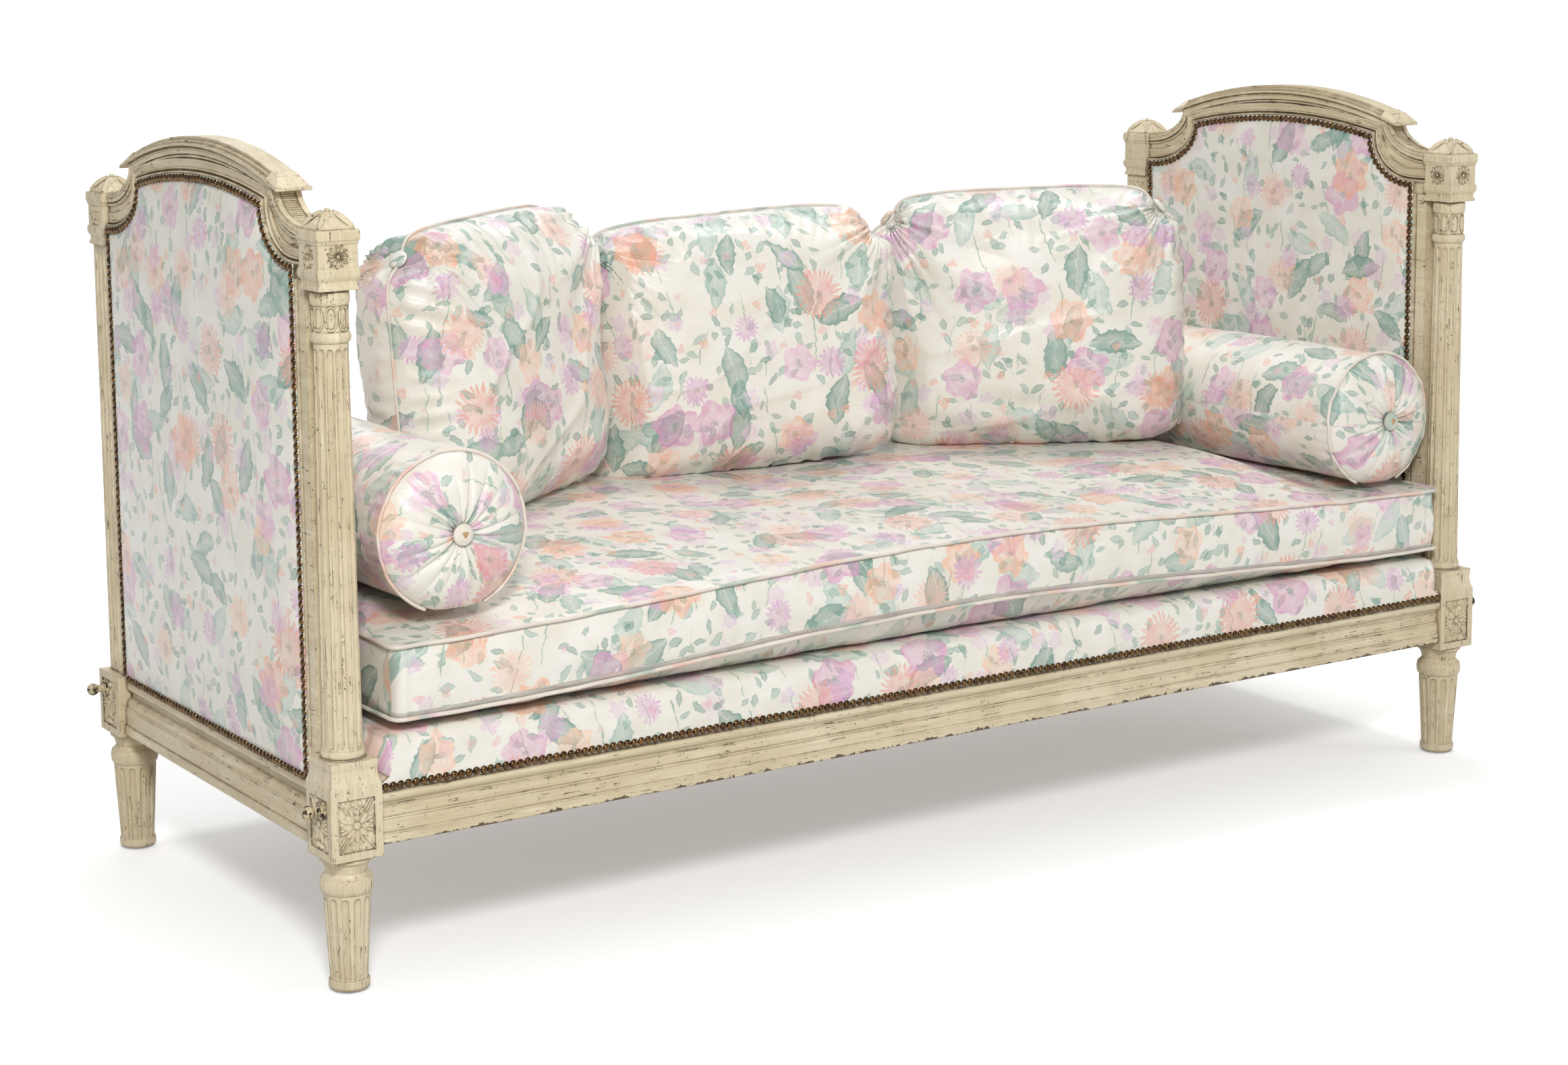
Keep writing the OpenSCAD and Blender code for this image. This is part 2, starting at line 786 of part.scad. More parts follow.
// Moulded bottom rail of an end frame, plain on the inside
function end_rail_profile() =
    let (x = post_x, half = end_t / 2, h = end_rail_top - end_rail_bottom, z = end_rail_bottom)
    [[x - half, z], [x + 1.23 * half, z], [x + 1.23 * half, z + 0.115 * h],
        [x + 1.12 * half, z + 0.13 * h], [x + 1.12 * half, z + 0.38 * h], [x + half, z + 0.43 * h],
        [x + half, z + 0.5 * h], [x + 0.66 * half, z + 0.55 * h], [x + 0.62 * half, z + 0.63 * h],
        [x + 0.7 * half, z + 0.68 * h], [x + half, z + 0.69 * h], [x + half, end_rail_top],
        [x - half, end_rail_top]];

module end_rail(sx) {
    color(paint)
    to_side(sx) y_prism(end_rail_profile(), -end_rail_end, end_rail_end);
}

// Long rails, moulded on their outward face and rebated at the top for the deck's cloth
function long_rail_profile() =
    let (f = rail_face, z = rail_bottom, h = rail_h, s = rail_inset)
    [[rail_back, z], [f, z], [f, z + 0.14 * h], [f - 0.5 * s, z + 0.16 * h],
        [f - 0.5 * s, z + 0.35 * h], [f - 1.3 * s, z + 0.39 * h], [f - 1.3 * s, z + 0.62 * h],
        [f - 0.6 * s, z + 0.67 * h], [f, z + 0.69 * h], [f, lip_bottom],
        [f - deck_lip, lip_bottom], [f - deck_lip, rail_top], [rail_back, rail_top]];

module long_rail(sy) {
    color(paint)
    to_face(sy)
    difference() {
        x_prism(long_rail_profile(), -rail_end, rail_end);
        for (sx = [left, right]) to_side(sx) {
            translate([0, bolt_y, bolt_z])
                x_cylinder(rail_end - bolt_reach - over, rail_end + over, bore_r);
            translate([rail_end - nut_in, bolt_y, bolt_z - nut_l / 2])
                cylinder(h = nut_l, r = nut_r, $fn = 48);
        }
    }
}

// Slats on cleats carry the deck
module slat_cleats() {
    color(raw_wood)
    for (sy = [front, back]) to_face(sy)
        translate([-rail_end, rail_back - cleat_w, rail_top - slat_t - cleat_h])
            cube([2 * rail_end, cleat_w, cleat_h]);
}

module deck_slats() {
    span = 2 * (rail_end - slat_margin);
    color(raw_wood)
    for (i = [0:slat_count - 1])
        translate([-span / 2 + span * i / (slat_count - 1) - slat_w / 2, -rail_back, rail_top - slat_t])
            cube([slat_w, 2 * rail_back, slat_t]);
}

// Nailed deck: padding with rounded front and back edges, and its cloth down the rails' faces
function deck_section() =
    let (half = deck_half_depth, r = deck_edge_r)
    concat(
        [[-half, deck_bottom], [half, deck_bottom]],
        [for (i = [0:5]) let (a = 18 * i) [half - r + r * cos(a), deck_top - r + r * sin(a)]],
        [for (i = [0:5]) let (a = 90 + 18 * i) [-half + r + r * cos(a), deck_top - r + r * sin(a)]]
    );

module deck_pad() {
    color(chintz) {
        x_prism(deck_section(), -deck_half, deck_half);
        for (sy = [front, back]) to_face(sy)
            translate([-rail_end + lip_gap, rail_face - deck_lip, lip_bottom])
                cube([2 * (rail_end - lip_gap), deck_lip, deck_bottom - lip_bottom]);
    }
}

// Jute webbing across each end frame, in two crossed layers
module end_webbing() {
    bottom = end_rail_top;
    top = ear_z;
    near = land - front_line;
    across = back_line - land - near;
    color(jute)
    for (sx = [left, right]) to_side(sx)
        intersection() {
            x_prism(panel_outline(-land), post_x - web_t, post_x + web_t);
            union() {
                for (i = [0:web_columns - 1]) {
                    y = near + across * (i + 0.5) / web_columns - web_w / 2;
                    translate([post_x - web_t, y, bottom - over])
                        cube([web_t, web_w, top + arch_rise - bottom + 2 * over]);
                }
                for (i = [0:web_rows - 1]) {
                    z = bottom + (top - bottom) * (i + 0.5) / web_rows - web_w / 2;
                    translate([post_x, -front_line, z]) cube([web_t, front_line + back_line, web_w]);
                }
            }
        }
}

// Padding on one face of an end frame. It fills the frame from the webbing out, turns
// over the frame's edge under the nails, and crowns towards its middle.
function panel_middle() = [(back_line - front_line) / 2, (nail_z + ear_z) / 2];

function pad_ring(points, w) = [for (p = points) [w, p[0], p[1]]];

function shrunk(points, share) = [for (p = points) panel_middle() + share * (p - panel_middle())];

function pad_rings() =
    let (face = end_t / 2 + pad_edge, edge = panel_outline(-flange_w))
    [
        pad_ring(panel_outline(-land), pad_base),
        pad_ring(panel_outline(-land), end_t / 2),
        pad_ring(panel_outline(flange_w), end_t / 2),
        pad_ring(panel_outline(flange_w), face),
        pad_ring(edge, face),
        for (s = crown_shares) pad_ring(shrunk(edge, s[0]), face + pad_crown * s[1])
    ];

module end_pad(sx, outward) {
    middle = panel_middle();
    color(chintz)
    to_side(sx)
    difference() {
        translate([post_x, 0, 0]) to_side(outward)
            skin(pad_rings(), [pad_base, middle[0], middle[1]],
                [end_t / 2 + pad_edge + pad_crown, middle[0], middle[1]]);
        translate([post_x - block_w / 2, post_y - block_w / 2, block_top - block_w])
            cube(block_w);
    }
}

// Nails
module nail() {
    cylinder(h = nail_h, r1 = nail_d / 2, r2 = nail_d / 5, $fn = 24);
}

module rail_nails() {
    run = 2 * (rail_end - nail_d / 2 - lip_gap);
    count = floor(run / nail_pitch);
    color(old_brass)
    for (sy = [front, back], i = [0:count])
        to_face(sy)
        translate([(i - count / 2) * run / count, rail_face, nail_z])
        rotate([-90, 0, 0]) nail();
}

// Running length along the nail line
function run_lengths(points) =
    let (n = len(points))
    [for (i = 0, s = 0; i <= n; s = s + norm(points[(i + 1) % n] - points[i % n]), i = i + 1) s];

// The nails go right round a panel, but for the corner that the back corner block takes up
function beside_block(y, z) =
    let (room = nail_d / 2 + nail_gap)
    y > post_y - block_w / 2 - room && z < block_top + room;

module end_nails(sx) {
    line = panel_outline(0);
    n = len(line);
    runs = run_lengths(line);
    y_table = [for (i = [0:n]) [runs[i], line[i % n][0]]];
    z_table = [for (i = [0:n]) [runs[i], line[i % n][1]]];
    count = floor(runs[n] / nail_pitch);
    color(old_brass)
    to_side(sx)
    for (w = [-1, 1], i = [0:count - 1]) {
        y = lookup(i * runs[n] / count, y_table);
        z = lookup(i * runs[n] / count, z_table);
        if (!beside_block(y, z))
            translate([post_x + w * (end_t / 2 + pad_edge), y, z]) rotate([0, 90 * w, 0]) nail();
    }
}

// Bed bolts with their washers and nuts, built for the right end
module bolt_washers() {
    color(steel)
    for (sx = [left, right], sy = [front, back]) to_corner(sx, sy)
        translate([0, bolt_y, bolt_z])
        difference() {
            x_cylinder(frame_length / 2, frame_length / 2 + washer_t, washer_r);
            x_cylinder(frame_length / 2 - over, frame_length / 2 + washer_t + over, bore_r);
        }
}

module bolt_nuts() {
    color(steel)
    for (sx = [left, right], sy = [front, back]) to_corner(sx, sy)
        difference() {
            translate([rail_end - nut_in, bolt_y, bolt_z - nut_l / 2])
                cylinder(h = nut_l, r = nut_r, $fn = 48);
            translate([0, bolt_y, bolt_z]) x_cylinder(rail_end - nut_in - 2 * nut_r, rail_end, bore_r);
        }
}

module bed_bolt(sx, sy) {
    seat = frame_length / 2 + washer_t + soft_clear;
    ball_x = seat + ball_out;
    color(steel)
    to_corner(sx, sy) translate([0, bolt_y, bolt_z])
    difference() {
        union() {
            x_cylinder(rail_end - bolt_reach, seat + over, shank_r);
            x_cylinder(seat, seat + collar_flange_t, collar_flange_r);
            x_cylinder(seat + collar_flange_t / 2, ball_x, bolt_neck_r);
            translate([ball_x, 0, 0]) sphere(r = ball_d / 2, $fn = 48);
        }
        for (turn = [0, 90])
            translate([ball_x, 0, 0]) rotate([turn, 0, 0])
            cylinder(h = 2 * ball_d, r = bar_hole_r, center = true, $fn = 32);
    }
}

// Seat cushion: sections across its depth, one behind another along its length
function ease(t) = sin(90 * max(0, min(1, t)));

function seat_us() = concat(
    [for (s = x_shares) seat_half * (s - 1)],
    [for (i = [len(x_shares) - 2:-1:0]) seat_half * (1 - x_shares[i])]
);

function corner_in(u) =
    let (run = max(0, seat_corner_r - (seat_half - abs(u))))
    seat_corner_r - sqrt(seat_corner_r * seat_corner_r - run * run);

function seat_row(u, share) = (2 * share - 1) * (seat_half_depth - corner_in(u));

function seam_arch_z(u) = seam_arch * pow(cos(90 * u / seat_half), 2);

function seam_low_z(u) = seam_low + seam_arch_z(u);

function seam_high_z(u, v) =
    seam_high + seam_arch_z(u) + back_seam_rise * (v + seat_half_depth) / seat_depth;

// Level of the cushion's top away from its edges, lower where a bolster lies on it
function rest_z(u) =
    let (
        side = u < 0 ? 0 : 1,
        inward = u < 0 ? u + seat_x0 - bolster_x[0] : bolster_x[1] - u - seat_x0,
        rise = max(0, min(1, (inward - bolster_flat) / bolster_ramp))
    )
    seat_top - bolster_sink[side] * (1 + cos(180 * rise)) / 2;

function seat_top_z(u, v) =
    let (
        rise = ease((seat_half - abs(u)) / end_ramp)
            * ease((v + seat_half_depth) / front_ramp)
            * ease((seat_half_depth - v) / back_ramp),
        seam = seam_high_z(u, v)
    )
    seam + (max(rest_z(u), seam) - seam) * rise;

function seat_under_z(u, v) =
    let (
        rise = ease((seat_half - abs(u)) / under_ramp) * ease((seat_half_depth - abs(v)) / under_ramp)
    )
    seam_low_z(u) + (deck_top + soft_clear - seam_low_z(u)) * rise;

function seat_section(u) =
    let (
        v_front = seat_row(u, 0),
        v_back = seat_row(u, 1),
        bulge = seat_bulge * ease((seat_half - abs(u)) / seat_corner_r),
        x = seat_x0 + u
    )
    concat(
        [for (s = under_shares) let (v = seat_row(u, s)) [x, seat_y0 + v, seat_under_z(u, v)]],
        [[x, seat_y0 + v_back + bulge, (seam_low_z(u) + seam_high_z(u, v_back)) / 2]],
        [for (s = reversed(top_shares)) let (v = seat_row(u, s)) [x, seat_y0 + v, seat_top_z(u, v)]],
        [[x, seat_y0 + v_front - bulge, (seam_low_z(u) + seam_high_z(u, v_front)) / 2]]
    );

module seat_cushion() {
    mid_z = (seam_low + seam_high) / 2;
    reach = seat_half + seat_bulge;
    color(chintz)
    skin([for (u = seat_us()) seat_section(u)],
        [seat_x0 - reach, seat_y0, mid_z], [seat_x0 + reach, seat_y0, mid_z]);
}

// Piping round the seat cushion's two seams
function seam_point(u, v, out_u, out_v, high) =
    [seat_x0 + u * (1 + out_u / seat_half), seat_y0 + v + out_v, high ? seam_high_z(u, v) : seam_low_z(u)];

function seam_path(high, out) = concat(
    [for (u = seat_us()) seam_point(u, seat_row(u, 0), out, -out, high)],
    [for (s = seam_end_shares) seam_point(seat_half, seat_row(seat_half, s), out, 0, high)],
    [for (u = reversed(seat_us())) seam_point(u, seat_row(u, 1), out, out, high)],
    [for (s = reversed(seam_end_shares)) seam_point(-seat_half, seat_row(seat_half, s), out, 0, high)]
);

module seat_piping() {
    out = piping_r + soft_clear / 2;
    color(piping_cloth) {
        closed_tube(seam_path(true, out), piping_r, 6);
        closed_tube(seam_path(false, out), piping_r, 6);
    }
}

// Bolsters: domed and pleated ends drawn in under a button, and a barrel pressed flat below,
// where the piping of the rims is left open
function bolster_z(side) = bolster_bed_z(side) + bolster_r - bolster_press;

function bolster_bed_z(side) = seat_top - bolster_sink[side] + soft_clear;

function bolster_ring(side, y, r, fold) =
    [for (j = [0:bolster_sides - 1])
        let (a = 360 * j / bolster_sides, pleat = j % 2 == 0 ? fold : -fold)
        [bolster_x[side] - r * cos(a), bolster_y + y + pleat,
            max(bolster_z(side) + r * sin(a), bolster_bed_z(side))]];

// Places outward from the rim and radii, from the middle of an end out to its barrel
function bolster_stations() = concat(
    [for (i = [0:len(end_dome_shares) - 1]) let (s = end_dome_shares[i])
        [bolster_half + s[0] * end_dome, s[1] * bolster_r, i > 0 && i < 4 ? pleat_depth / 2 : 0]],
    [[bolster_half, bolster_r, 0], [bolster_half - bolster_shoulder, bolster_r, 0]]
);

module bolster(side) {
    tip = bolster_half + end_dome_shares[0][0] * end_dome;
    color(chintz)
    skin(
        concat(
            [for (s = bolster_stations()) bolster_ring(side, -s[0], s[1], s[2])],
            [bolster_ring(side, 0, bolster_r, 0)],
            [for (s = reversed(bolster_stations())) bolster_ring(side, s[0], s[1], -s[2])]
        ),
        [bolster_x[side], bolster_y - tip, bolster_z(side)],
        [bolster_x[side], bolster_y + tip, bolster_z(side)]
    );
}

// A covered button, standing on its flat face along +Z
module covered_button(r, t) {
    rotate_extrude($fn = 48) polygon(concat([[0, 0]], [for (s = button_shares) [r * s[0], t * s[1]]]));
}

module bolster_trim(side) {
    tip = bolster_half + end_dome_shares[0][0] * end_dome + soft_clear / 2;
    ring_r = bolster_r + rim_piping_r + soft_clear;
    open = acos((bolster_z(side) - bolster_bed_z(side)) / (ring_r + rim_piping_r));
    color(piping_cloth)
    for (s = [-1, 1])
        translate([bolster_x[side], bolster_y, bolster_z(side)]) rotate([-90 * s, 0, 0]) {
            translate([0, 0, bolster_half]) rotate([0, 0, 90 * s + open])
                rotate_extrude(angle = 360 - 2 * open, $fn = 96)
                translate([ring_r, 0]) circle(r = rim_piping_r, $fn = 24);
            translate([0, 0, tip]) covered_button(button_r, button_t);
        }
}

// Pillows: a rounded square seam, crowned faces, gathers at the corners, pressed flat below
// and against their neighbours
function signed_power(v, p) = sign(v) * pow(abs(v), p);

function pillow_outline(place, a, out) =
    let (p = 2 / pillow_squareness)
    [(place[3] / 2 + out) * signed_power(cos(a), p), (place[4] / 2 + out) * signed_power(sin(a), p)];

function corner_share(a) = pow(abs(sin(2 * a)), 4);

function pillow_bulge(s, a) =
    pillow_t / 2 * sqrt(max(0, 1 - pow(s, bulge_power)))
    * (1 - gather_share * corner_share(a) * s * (1 + cos(gathers * 4 * a)) / 2);

// A point held on one side of an upright plane, at a distance from it
function beside(point, bound, side, room) =
    let (
        across = [cos(bound[1]), sin(bound[1])],
        past = side * ((point[0] - bound[0][0]) * across[0] + (point[1] - bound[0][1]) * across[1]) + room
    )
    past > 0 ? point - side * past * [across[0], across[1], 0] : point;

// A point of a pillow at width u, height v and thickness w from its middle
function pillow_point(i, u, v, w, room) =
    let (
        place = pillow_places[i],
        base = seat_top + room,
        ur = u * cos(place[5]) - v * sin(place[5]),
        vr = u * sin(place[5]) + v * cos(place[5]),
        z = base + place[4] / 2 - pillow_press + vr * cos(pillow_lean) + w * sin(pillow_lean),
        depth = -w * cos(pillow_lean) + vr * sin(pillow_lean),
        turn = place[2],
        free = [
            place[0] + ur * cos(turn) - depth * sin(turn),
            place[1] + ur * sin(turn) + depth * cos(turn),
            max(base, z)
        ]
    )
    beside(beside(free, pillow_bounds[i], -1, room), pillow_bounds[i + 1], 1, room);

pillow_room = 2 * (soft_clear + pillow_piping_r);

// A pillow's body leaves room for its piping beside its neighbours, but lies on the seat
function body_point(i, u, v, w) =
    let (p = pillow_point(i, u, v, w, pillow_room))
    [p[0], p[1], max(seat_top + soft_clear, p[2] - pillow_room)];

function pillow_ring(i, s, face) =
    [for (j = [0:pillow_sides - 1])
        let (
            a = 360 * (j + 0.5) / pillow_sides,
            q = s * pillow_outline(pillow_places[i], a, 0)
        )
        body_point(i, q[0], q[1], face * pillow_bulge(s, a))];

module pillow(i) {
    color(chintz)
    skin(
        concat(
            [for (s = pillow_ring_shares) pillow_ring(i, s, -1)],
            [pillow_ring(i, 1, 0)],
            [for (s = reversed(pillow_ring_shares)) pillow_ring(i, s, 1)]
        ),
        body_point(i, 0, 0, -pillow_t / 2), body_point(i, 0, 0, pillow_t / 2)
    );
}

// A point of the trim, which keeps its own radius from the neighbours
function trim_point(i, a, out, room) =
    let (q = pillow_outline(pillow_places[i], a, out), p = pillow_point(i, q[0], q[1], 0, room))
    [p[0], p[1], p[2] - room];

function piping_angle(share) =
    piping_first_angle + (piping_last_angle - piping_first_angle) * share;

module pillow_trim(i) {
    out = pillow_piping_r + soft_clear;
    room = pillow_piping_r + soft_clear;
    place = pillow_places[i];
    corner = atan(pow(place[4] / place[3], 1 / (2 - 2 / pillow_squareness)));
    color(piping_cloth) {
        open_tube([for (k = [0:pillow_piping_steps])
            trim_point(i, piping_angle(k / pillow_piping_steps), out, room)],
            pillow_piping_r, 5);
        for (s = [-1, 1])
            translate(trim_point(i, 90 - (90 - corner) * s, button_out_share * out, room))
                rotate([0, 0, place[2]]) rotate([-pillow_lean, 0, 0]) rotate([0, 45 * s - place[5], 0])
                covered_button(pillow_button_r, pillow_button_t);
    }
}

foot_glides();
leg(left, front);  // leg_front_left
leg(right, front);  // leg_front_right
leg(left, back);  // leg_back_left
leg(right, back);  // leg_back_right
corner_block(left, front);  // corner_block_front_left
corner_block(right, front);  // corner_block_front_right
corner_block(left, back);  // corner_block_back_left
corner_block(right, back);  // corner_block_back_right
column(left);  // column_left
column(right);  // column_right
pilaster(left);  // pilaster_left
pilaster(right);  // pilaster_right
capital(left, front);  // capital_front_left
capital(right, front);  // capital_front_right
capital(left, back);  // capital_back_left
capital(right, back);  // capital_back_right
finials();
front_stile(left);  // front_stile_left
front_stile(right);  // front_stile_right
back_stile(left);  // back_stile_left
back_stile(right);  // back_stile_right
crest_rail(left);  // crest_rail_left
crest_rail(right);  // crest_rail_right
crest_cap(left);  // crest_cap_left
crest_cap(right);  // crest_cap_right
end_rail(left);  // end_rail_left
end_rail(right);  // end_rail_right
long_rail(front);  // front_rail
long_rail(back);  // back_rail
slat_cleats();
deck_slats();
deck_pad();
end_webbing();
end_pad(left, 1);  // outer_pad_left
end_pad(left, -1);  // inner_pad_left
end_pad(right, 1);  // outer_pad_right
end_pad(right, -1);  // inner_pad_right
rail_nails();
end_nails(left);  // end_nails_left
end_nails(right);  // end_nails_right
bolt_washers();
bolt_nuts();
bed_bolt(left, front);  // bed_bolt_front_left
bed_bolt(right, front);  // bed_bolt_front_right
bed_bolt(left, back);  // bed_bolt_back_left
bed_bolt(right, back);  // bed_bolt_back_right
seat_cushion();
seat_piping();
bolster(0);  // bolster_left
bolster_trim(0);  // bolster_trim_left
bolster(1);  // bolster_right
bolster_trim(1);  // bolster_trim_right
pillow(0);  // pillow_left
pillow_trim(0);  // pillow_trim_left
pillow(1);  // pillow_centre
pillow_trim(1);  // pillow_trim_centre
pillow(2);  // pillow_right
pillow_trim(2);  // pillow_trim_right
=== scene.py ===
"""Painted daybed in flowered chintz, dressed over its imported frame.

Metres, +Z up, front towards -Y.
"""

import math

import bpy
import numpy as np
from mathutils import Matrix, Vector


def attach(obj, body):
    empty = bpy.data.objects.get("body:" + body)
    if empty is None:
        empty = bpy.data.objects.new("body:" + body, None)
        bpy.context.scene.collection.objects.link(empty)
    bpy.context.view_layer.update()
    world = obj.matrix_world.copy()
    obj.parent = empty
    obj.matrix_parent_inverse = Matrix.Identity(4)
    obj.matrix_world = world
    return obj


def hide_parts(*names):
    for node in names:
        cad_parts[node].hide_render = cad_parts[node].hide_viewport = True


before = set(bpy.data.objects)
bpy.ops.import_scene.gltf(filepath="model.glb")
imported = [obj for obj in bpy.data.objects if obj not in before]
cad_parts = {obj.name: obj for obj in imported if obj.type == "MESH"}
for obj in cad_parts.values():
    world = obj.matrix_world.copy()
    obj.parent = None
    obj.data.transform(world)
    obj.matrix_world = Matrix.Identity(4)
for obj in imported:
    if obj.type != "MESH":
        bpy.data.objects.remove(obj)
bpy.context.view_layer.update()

LEFT, RIGHT, FRONT, BACK = -1, 1, -1, 1
ENDS = ((LEFT, "left"), (RIGHT, "right"))
ROWS = ((FRONT, "front"), (BACK, "back"))
POST_X, POST_Y, BLOCK_HALF = 1.0, 0.37, 0.037
LEG_TOP, BLOCK_TOP, CAPITAL_Z, CAPITAL_TOP, CAPITAL_W = 0.182, 0.274, 0.92, 0.997, 0.061
NAIL_PITCH, NAIL_R, NAIL_PROUD = 0.011, 0.0056, 0.0041


# ---------------------------------------------------------------- shader helpers


def paint_chip(red, green, blue):
    """A colour given as it looks on a screen, 0 to 255, as the shader wants it."""
    def to_light(v):
        v /= 255
        return v / 12.92 if v <= 0.04045 else ((v + 0.055) / 1.055) ** 2.4

    return to_light(red), to_light(green), to_light(blue), 1.0


class Wire:
    """An output of a shader node. Arithmetic on it adds Math nodes."""

    def __init__(self, finish, socket):
        self.finish = finish
        self.socket = socket

    def math(self, operation, *values):
        return self.finish.node("ShaderNodeMath", {"operation": operation}, dict(enumerate(values)))

    def __add__(self, other):
        return self.math("ADD", self, other)

    __radd__ = __add__

    def __sub__(self, other):
        return self.math("SUBTRACT", self, other)

    def __rsub__(self, other):
        return self.math("SUBTRACT", other, self)

    def __mul__(self, other):
        return self.math("MULTIPLY", self, other)

    __rmul__ = __mul__

    def __truediv__(self, other):
        return self.math("DIVIDE", self, other)

    def __rtruediv__(self, other):
        return self.math("DIVIDE", other, self)

    def __pow__(self, other):
        return self.math("POWER", self, other)

    def __abs__(self):
        return self.math("ABSOLUTE", self)


class Nodes:
    """A node tree, and the one way in which a node gets into it."""

    def __init__(self, tree):
        self.tree = tree

    def node(self, kind, settings=None, inputs=None, output=0):
        node = self.tree.nodes.new(kind)
        for key, value in (settings or {}).items():
            setattr(node, key, value)
        for key, value in (inputs or {}).items():
            self.feed(node.inputs[key], value)
        return Wire(self, node.outputs[output])

    def feed(self, socket, value):
        if isinstance(value, Wire):
            self.tree.links.new(value.socket, socket)
        else:
            socket.default_value = value

    def on_rays(self, first, *others):
        """1 on rays of the kinds that are named, 0 on all others."""
        seen = self.node("ShaderNodeLightPath", output=f"Is {first} Ray")
        for kind in others:
            seen = seen + self.node("ShaderNodeLightPath", output=f"Is {kind} Ray")
        return seen


class Finish(Nodes):
    """A material with its shader nodes."""

    def __init__(self, name, slot, **constants):
        self.slot = slot
        self.material = bpy.data.materials.new(name)
        self.material.use_nodes = True
        super().__init__(self.material.node_tree)
        self.shader = self.tree.nodes["Principled BSDF"]
        for socket, value in constants.items():
            self.set(socket.replace("_", " "), value)

    def set(self, socket, value):
        self.feed(self.shader.inputs[socket], value)

    def place(self):
        return self.node("ShaderNodeTexCoord", output="Object")

    def stretched(self, where, scale, shift=(0, 0, 0)):
        inputs = {"Vector": where, "Location": shift, "Scale": scale}
        return self.node("ShaderNodeMapping", None, inputs)

    def noise(self, where, scale, detail=3.0, roughness=0.55, output=0):
        return self.node(
            "ShaderNodeTexNoise", None,
            {"Vector": where, "Scale": scale, "Detail": detail, "Roughness": roughness}, output)

    def smooth(self, value, low, high):
        return self.node(
            "ShaderNodeMapRange", {"interpolation_type": "SMOOTHSTEP"},
            {"Value": value, "From Min": low, "From Max": high})

    def mix(self, share, a, b):
        """A share of b over a. Each is a link, or a colour for paint_chip."""
        a, b = [colour if isinstance(colour, Wire) else paint_chip(*colour) for colour in (a, b)]
        return self.node("ShaderNodeMix", {"data_type": "RGBA"}, {0: share, 6: a, 7: b}, 2)

    def vector(self, operation, a, b, output=0):
        return self.node("ShaderNodeVectorMath", {"operation": operation}, {0: a, 1: b}, output)

    def split(self, vector):
        parts = self.node("ShaderNodeSeparateXYZ", None, {0: vector}).socket.node.outputs
        return [Wire(self, socket) for socket in parts]

    def bump(self, height, distance, strength=1.0, normal=None):
        inputs = {"Height": height, "Distance": distance, "Strength": strength}
        if normal:
            inputs["Normal"] = normal
        return self.node("ShaderNodeBump", None, inputs)


# ---------------------------------------------------------------- finishes


def cream_paint(name, streak, wear=1.0, soil_and_shade=0.9, bare_foot=0.0):
    """Old cream paint: brushed, rubbed through on its edges, with dirt and painted shade making its
    hollows brown.

    streak is how fine the brush strokes are along each axis, and below bare_foot the paint is gone.
    """
    finish = Finish(name, "cream_paint", Specular_IOR_Level=0.4)
    where = finish.place()
    strokes = finish.noise(finish.stretched(where, streak), 1.0, 5.0, 0.65)
    scratches = finish.noise(finish.stretched(where, [3.2 * s for s in streak]), 1.0, 2.0, 0.6)
    clouds = finish.noise(where, 7.0, 3.0)
    soft = finish.node("ShaderNodeBevel", {"samples": 5}, {"Radius": 0.0013})
    flat = finish.node("ShaderNodeNewGeometry", output="Normal")
    edge = finish.vector("DOT_PRODUCT", soft, flat, "Value")
    hollow = finish.node("ShaderNodeAmbientOcclusion", {"samples": 6}, {"Distance": 0.007}, "AO")
    flecks = finish.noise(where, 260.0, 2.0, 0.7)
    patches = finish.noise(where, 38.0, 4.0, 0.75)

    coat = finish.mix(finish.smooth(clouds, 0.3, 0.7), (225, 212, 183), (211, 196, 163))
    coat = finish.mix(finish.smooth(strokes, 0.46, 0.7) * 0.45, coat, (186, 168, 134))
    coat = finish.mix(finish.smooth(strokes, 0.42, 0.3) * 0.6, coat, (239, 230, 206))
    dirty = finish.smooth(patches + strokes * 0.5, 0.42, 0.8)
    # Dirt and painted shade together: hollows found by ambient occlusion are darkened toward brown, in
    # the dirty patches.
    grime_and_shade = finish.smooth(hollow, 0.86, 0.46) * dirty * soil_and_shade
    coat = finish.mix(grime_and_shade, coat, (92, 70, 44))
    thin = finish.smooth(patches + scratches * 0.4, 0.67 - 0.06 * wear, 0.74)
    rubbed = finish.smooth(edge, 0.99, 0.9) * thin
    coat = finish.mix(rubbed * 0.9, coat, (82, 62, 42))
    chips = finish.smooth(flecks + scratches * 0.4, 0.85, 0.9) * finish.smooth(patches, 0.48, 0.58)
    chips = chips + finish.smooth(scratches, 0.63, 0.66) * finish.smooth(patches, 0.5, 0.58)
    chips = chips.math("MINIMUM", chips * wear, 1.0)
    coat = finish.mix(chips * 0.9, coat, (92, 70, 46))
    if bare_foot:
        ragged = finish.split(where)[2] + patches * 0.03
        lost = finish.smooth(ragged, bare_foot + 0.0165, bare_foot + 0.0155)
        coat = finish.mix(lost * 0.92, coat, (72, 48, 34))
    finish.set("Base Color", coat)
    finish.set("Roughness", 0.4 + strokes * 0.2 + grime_and_shade * 0.2)
    finish.set("Normal", finish.bump(
        strokes * 0.8 + flecks * 0.3 - chips * 0.9 - rubbed * 0.5, 0.0008, 0.8, soft))
    return finish


def motif_places(finish, cloth, spacing, shift):
    """The way from the middle of a cell's motif to a place on the cloth, and three random shares."""
    moved = finish.vector("ADD", cloth, shift)
    settings = {"voronoi_dimensions": "2D", "feature": "F1"}
    values = {"Vector": moved, "Scale": 1 / spacing, "Randomness": 0.75}
    cell = finish.node("ShaderNodeTexVoronoi", settings, values, "Position")
    chance = Wire(finish, cell.socket.node.outputs["Color"])
    return finish.vector("SUBTRACT", moved, cell), finish.split(chance)


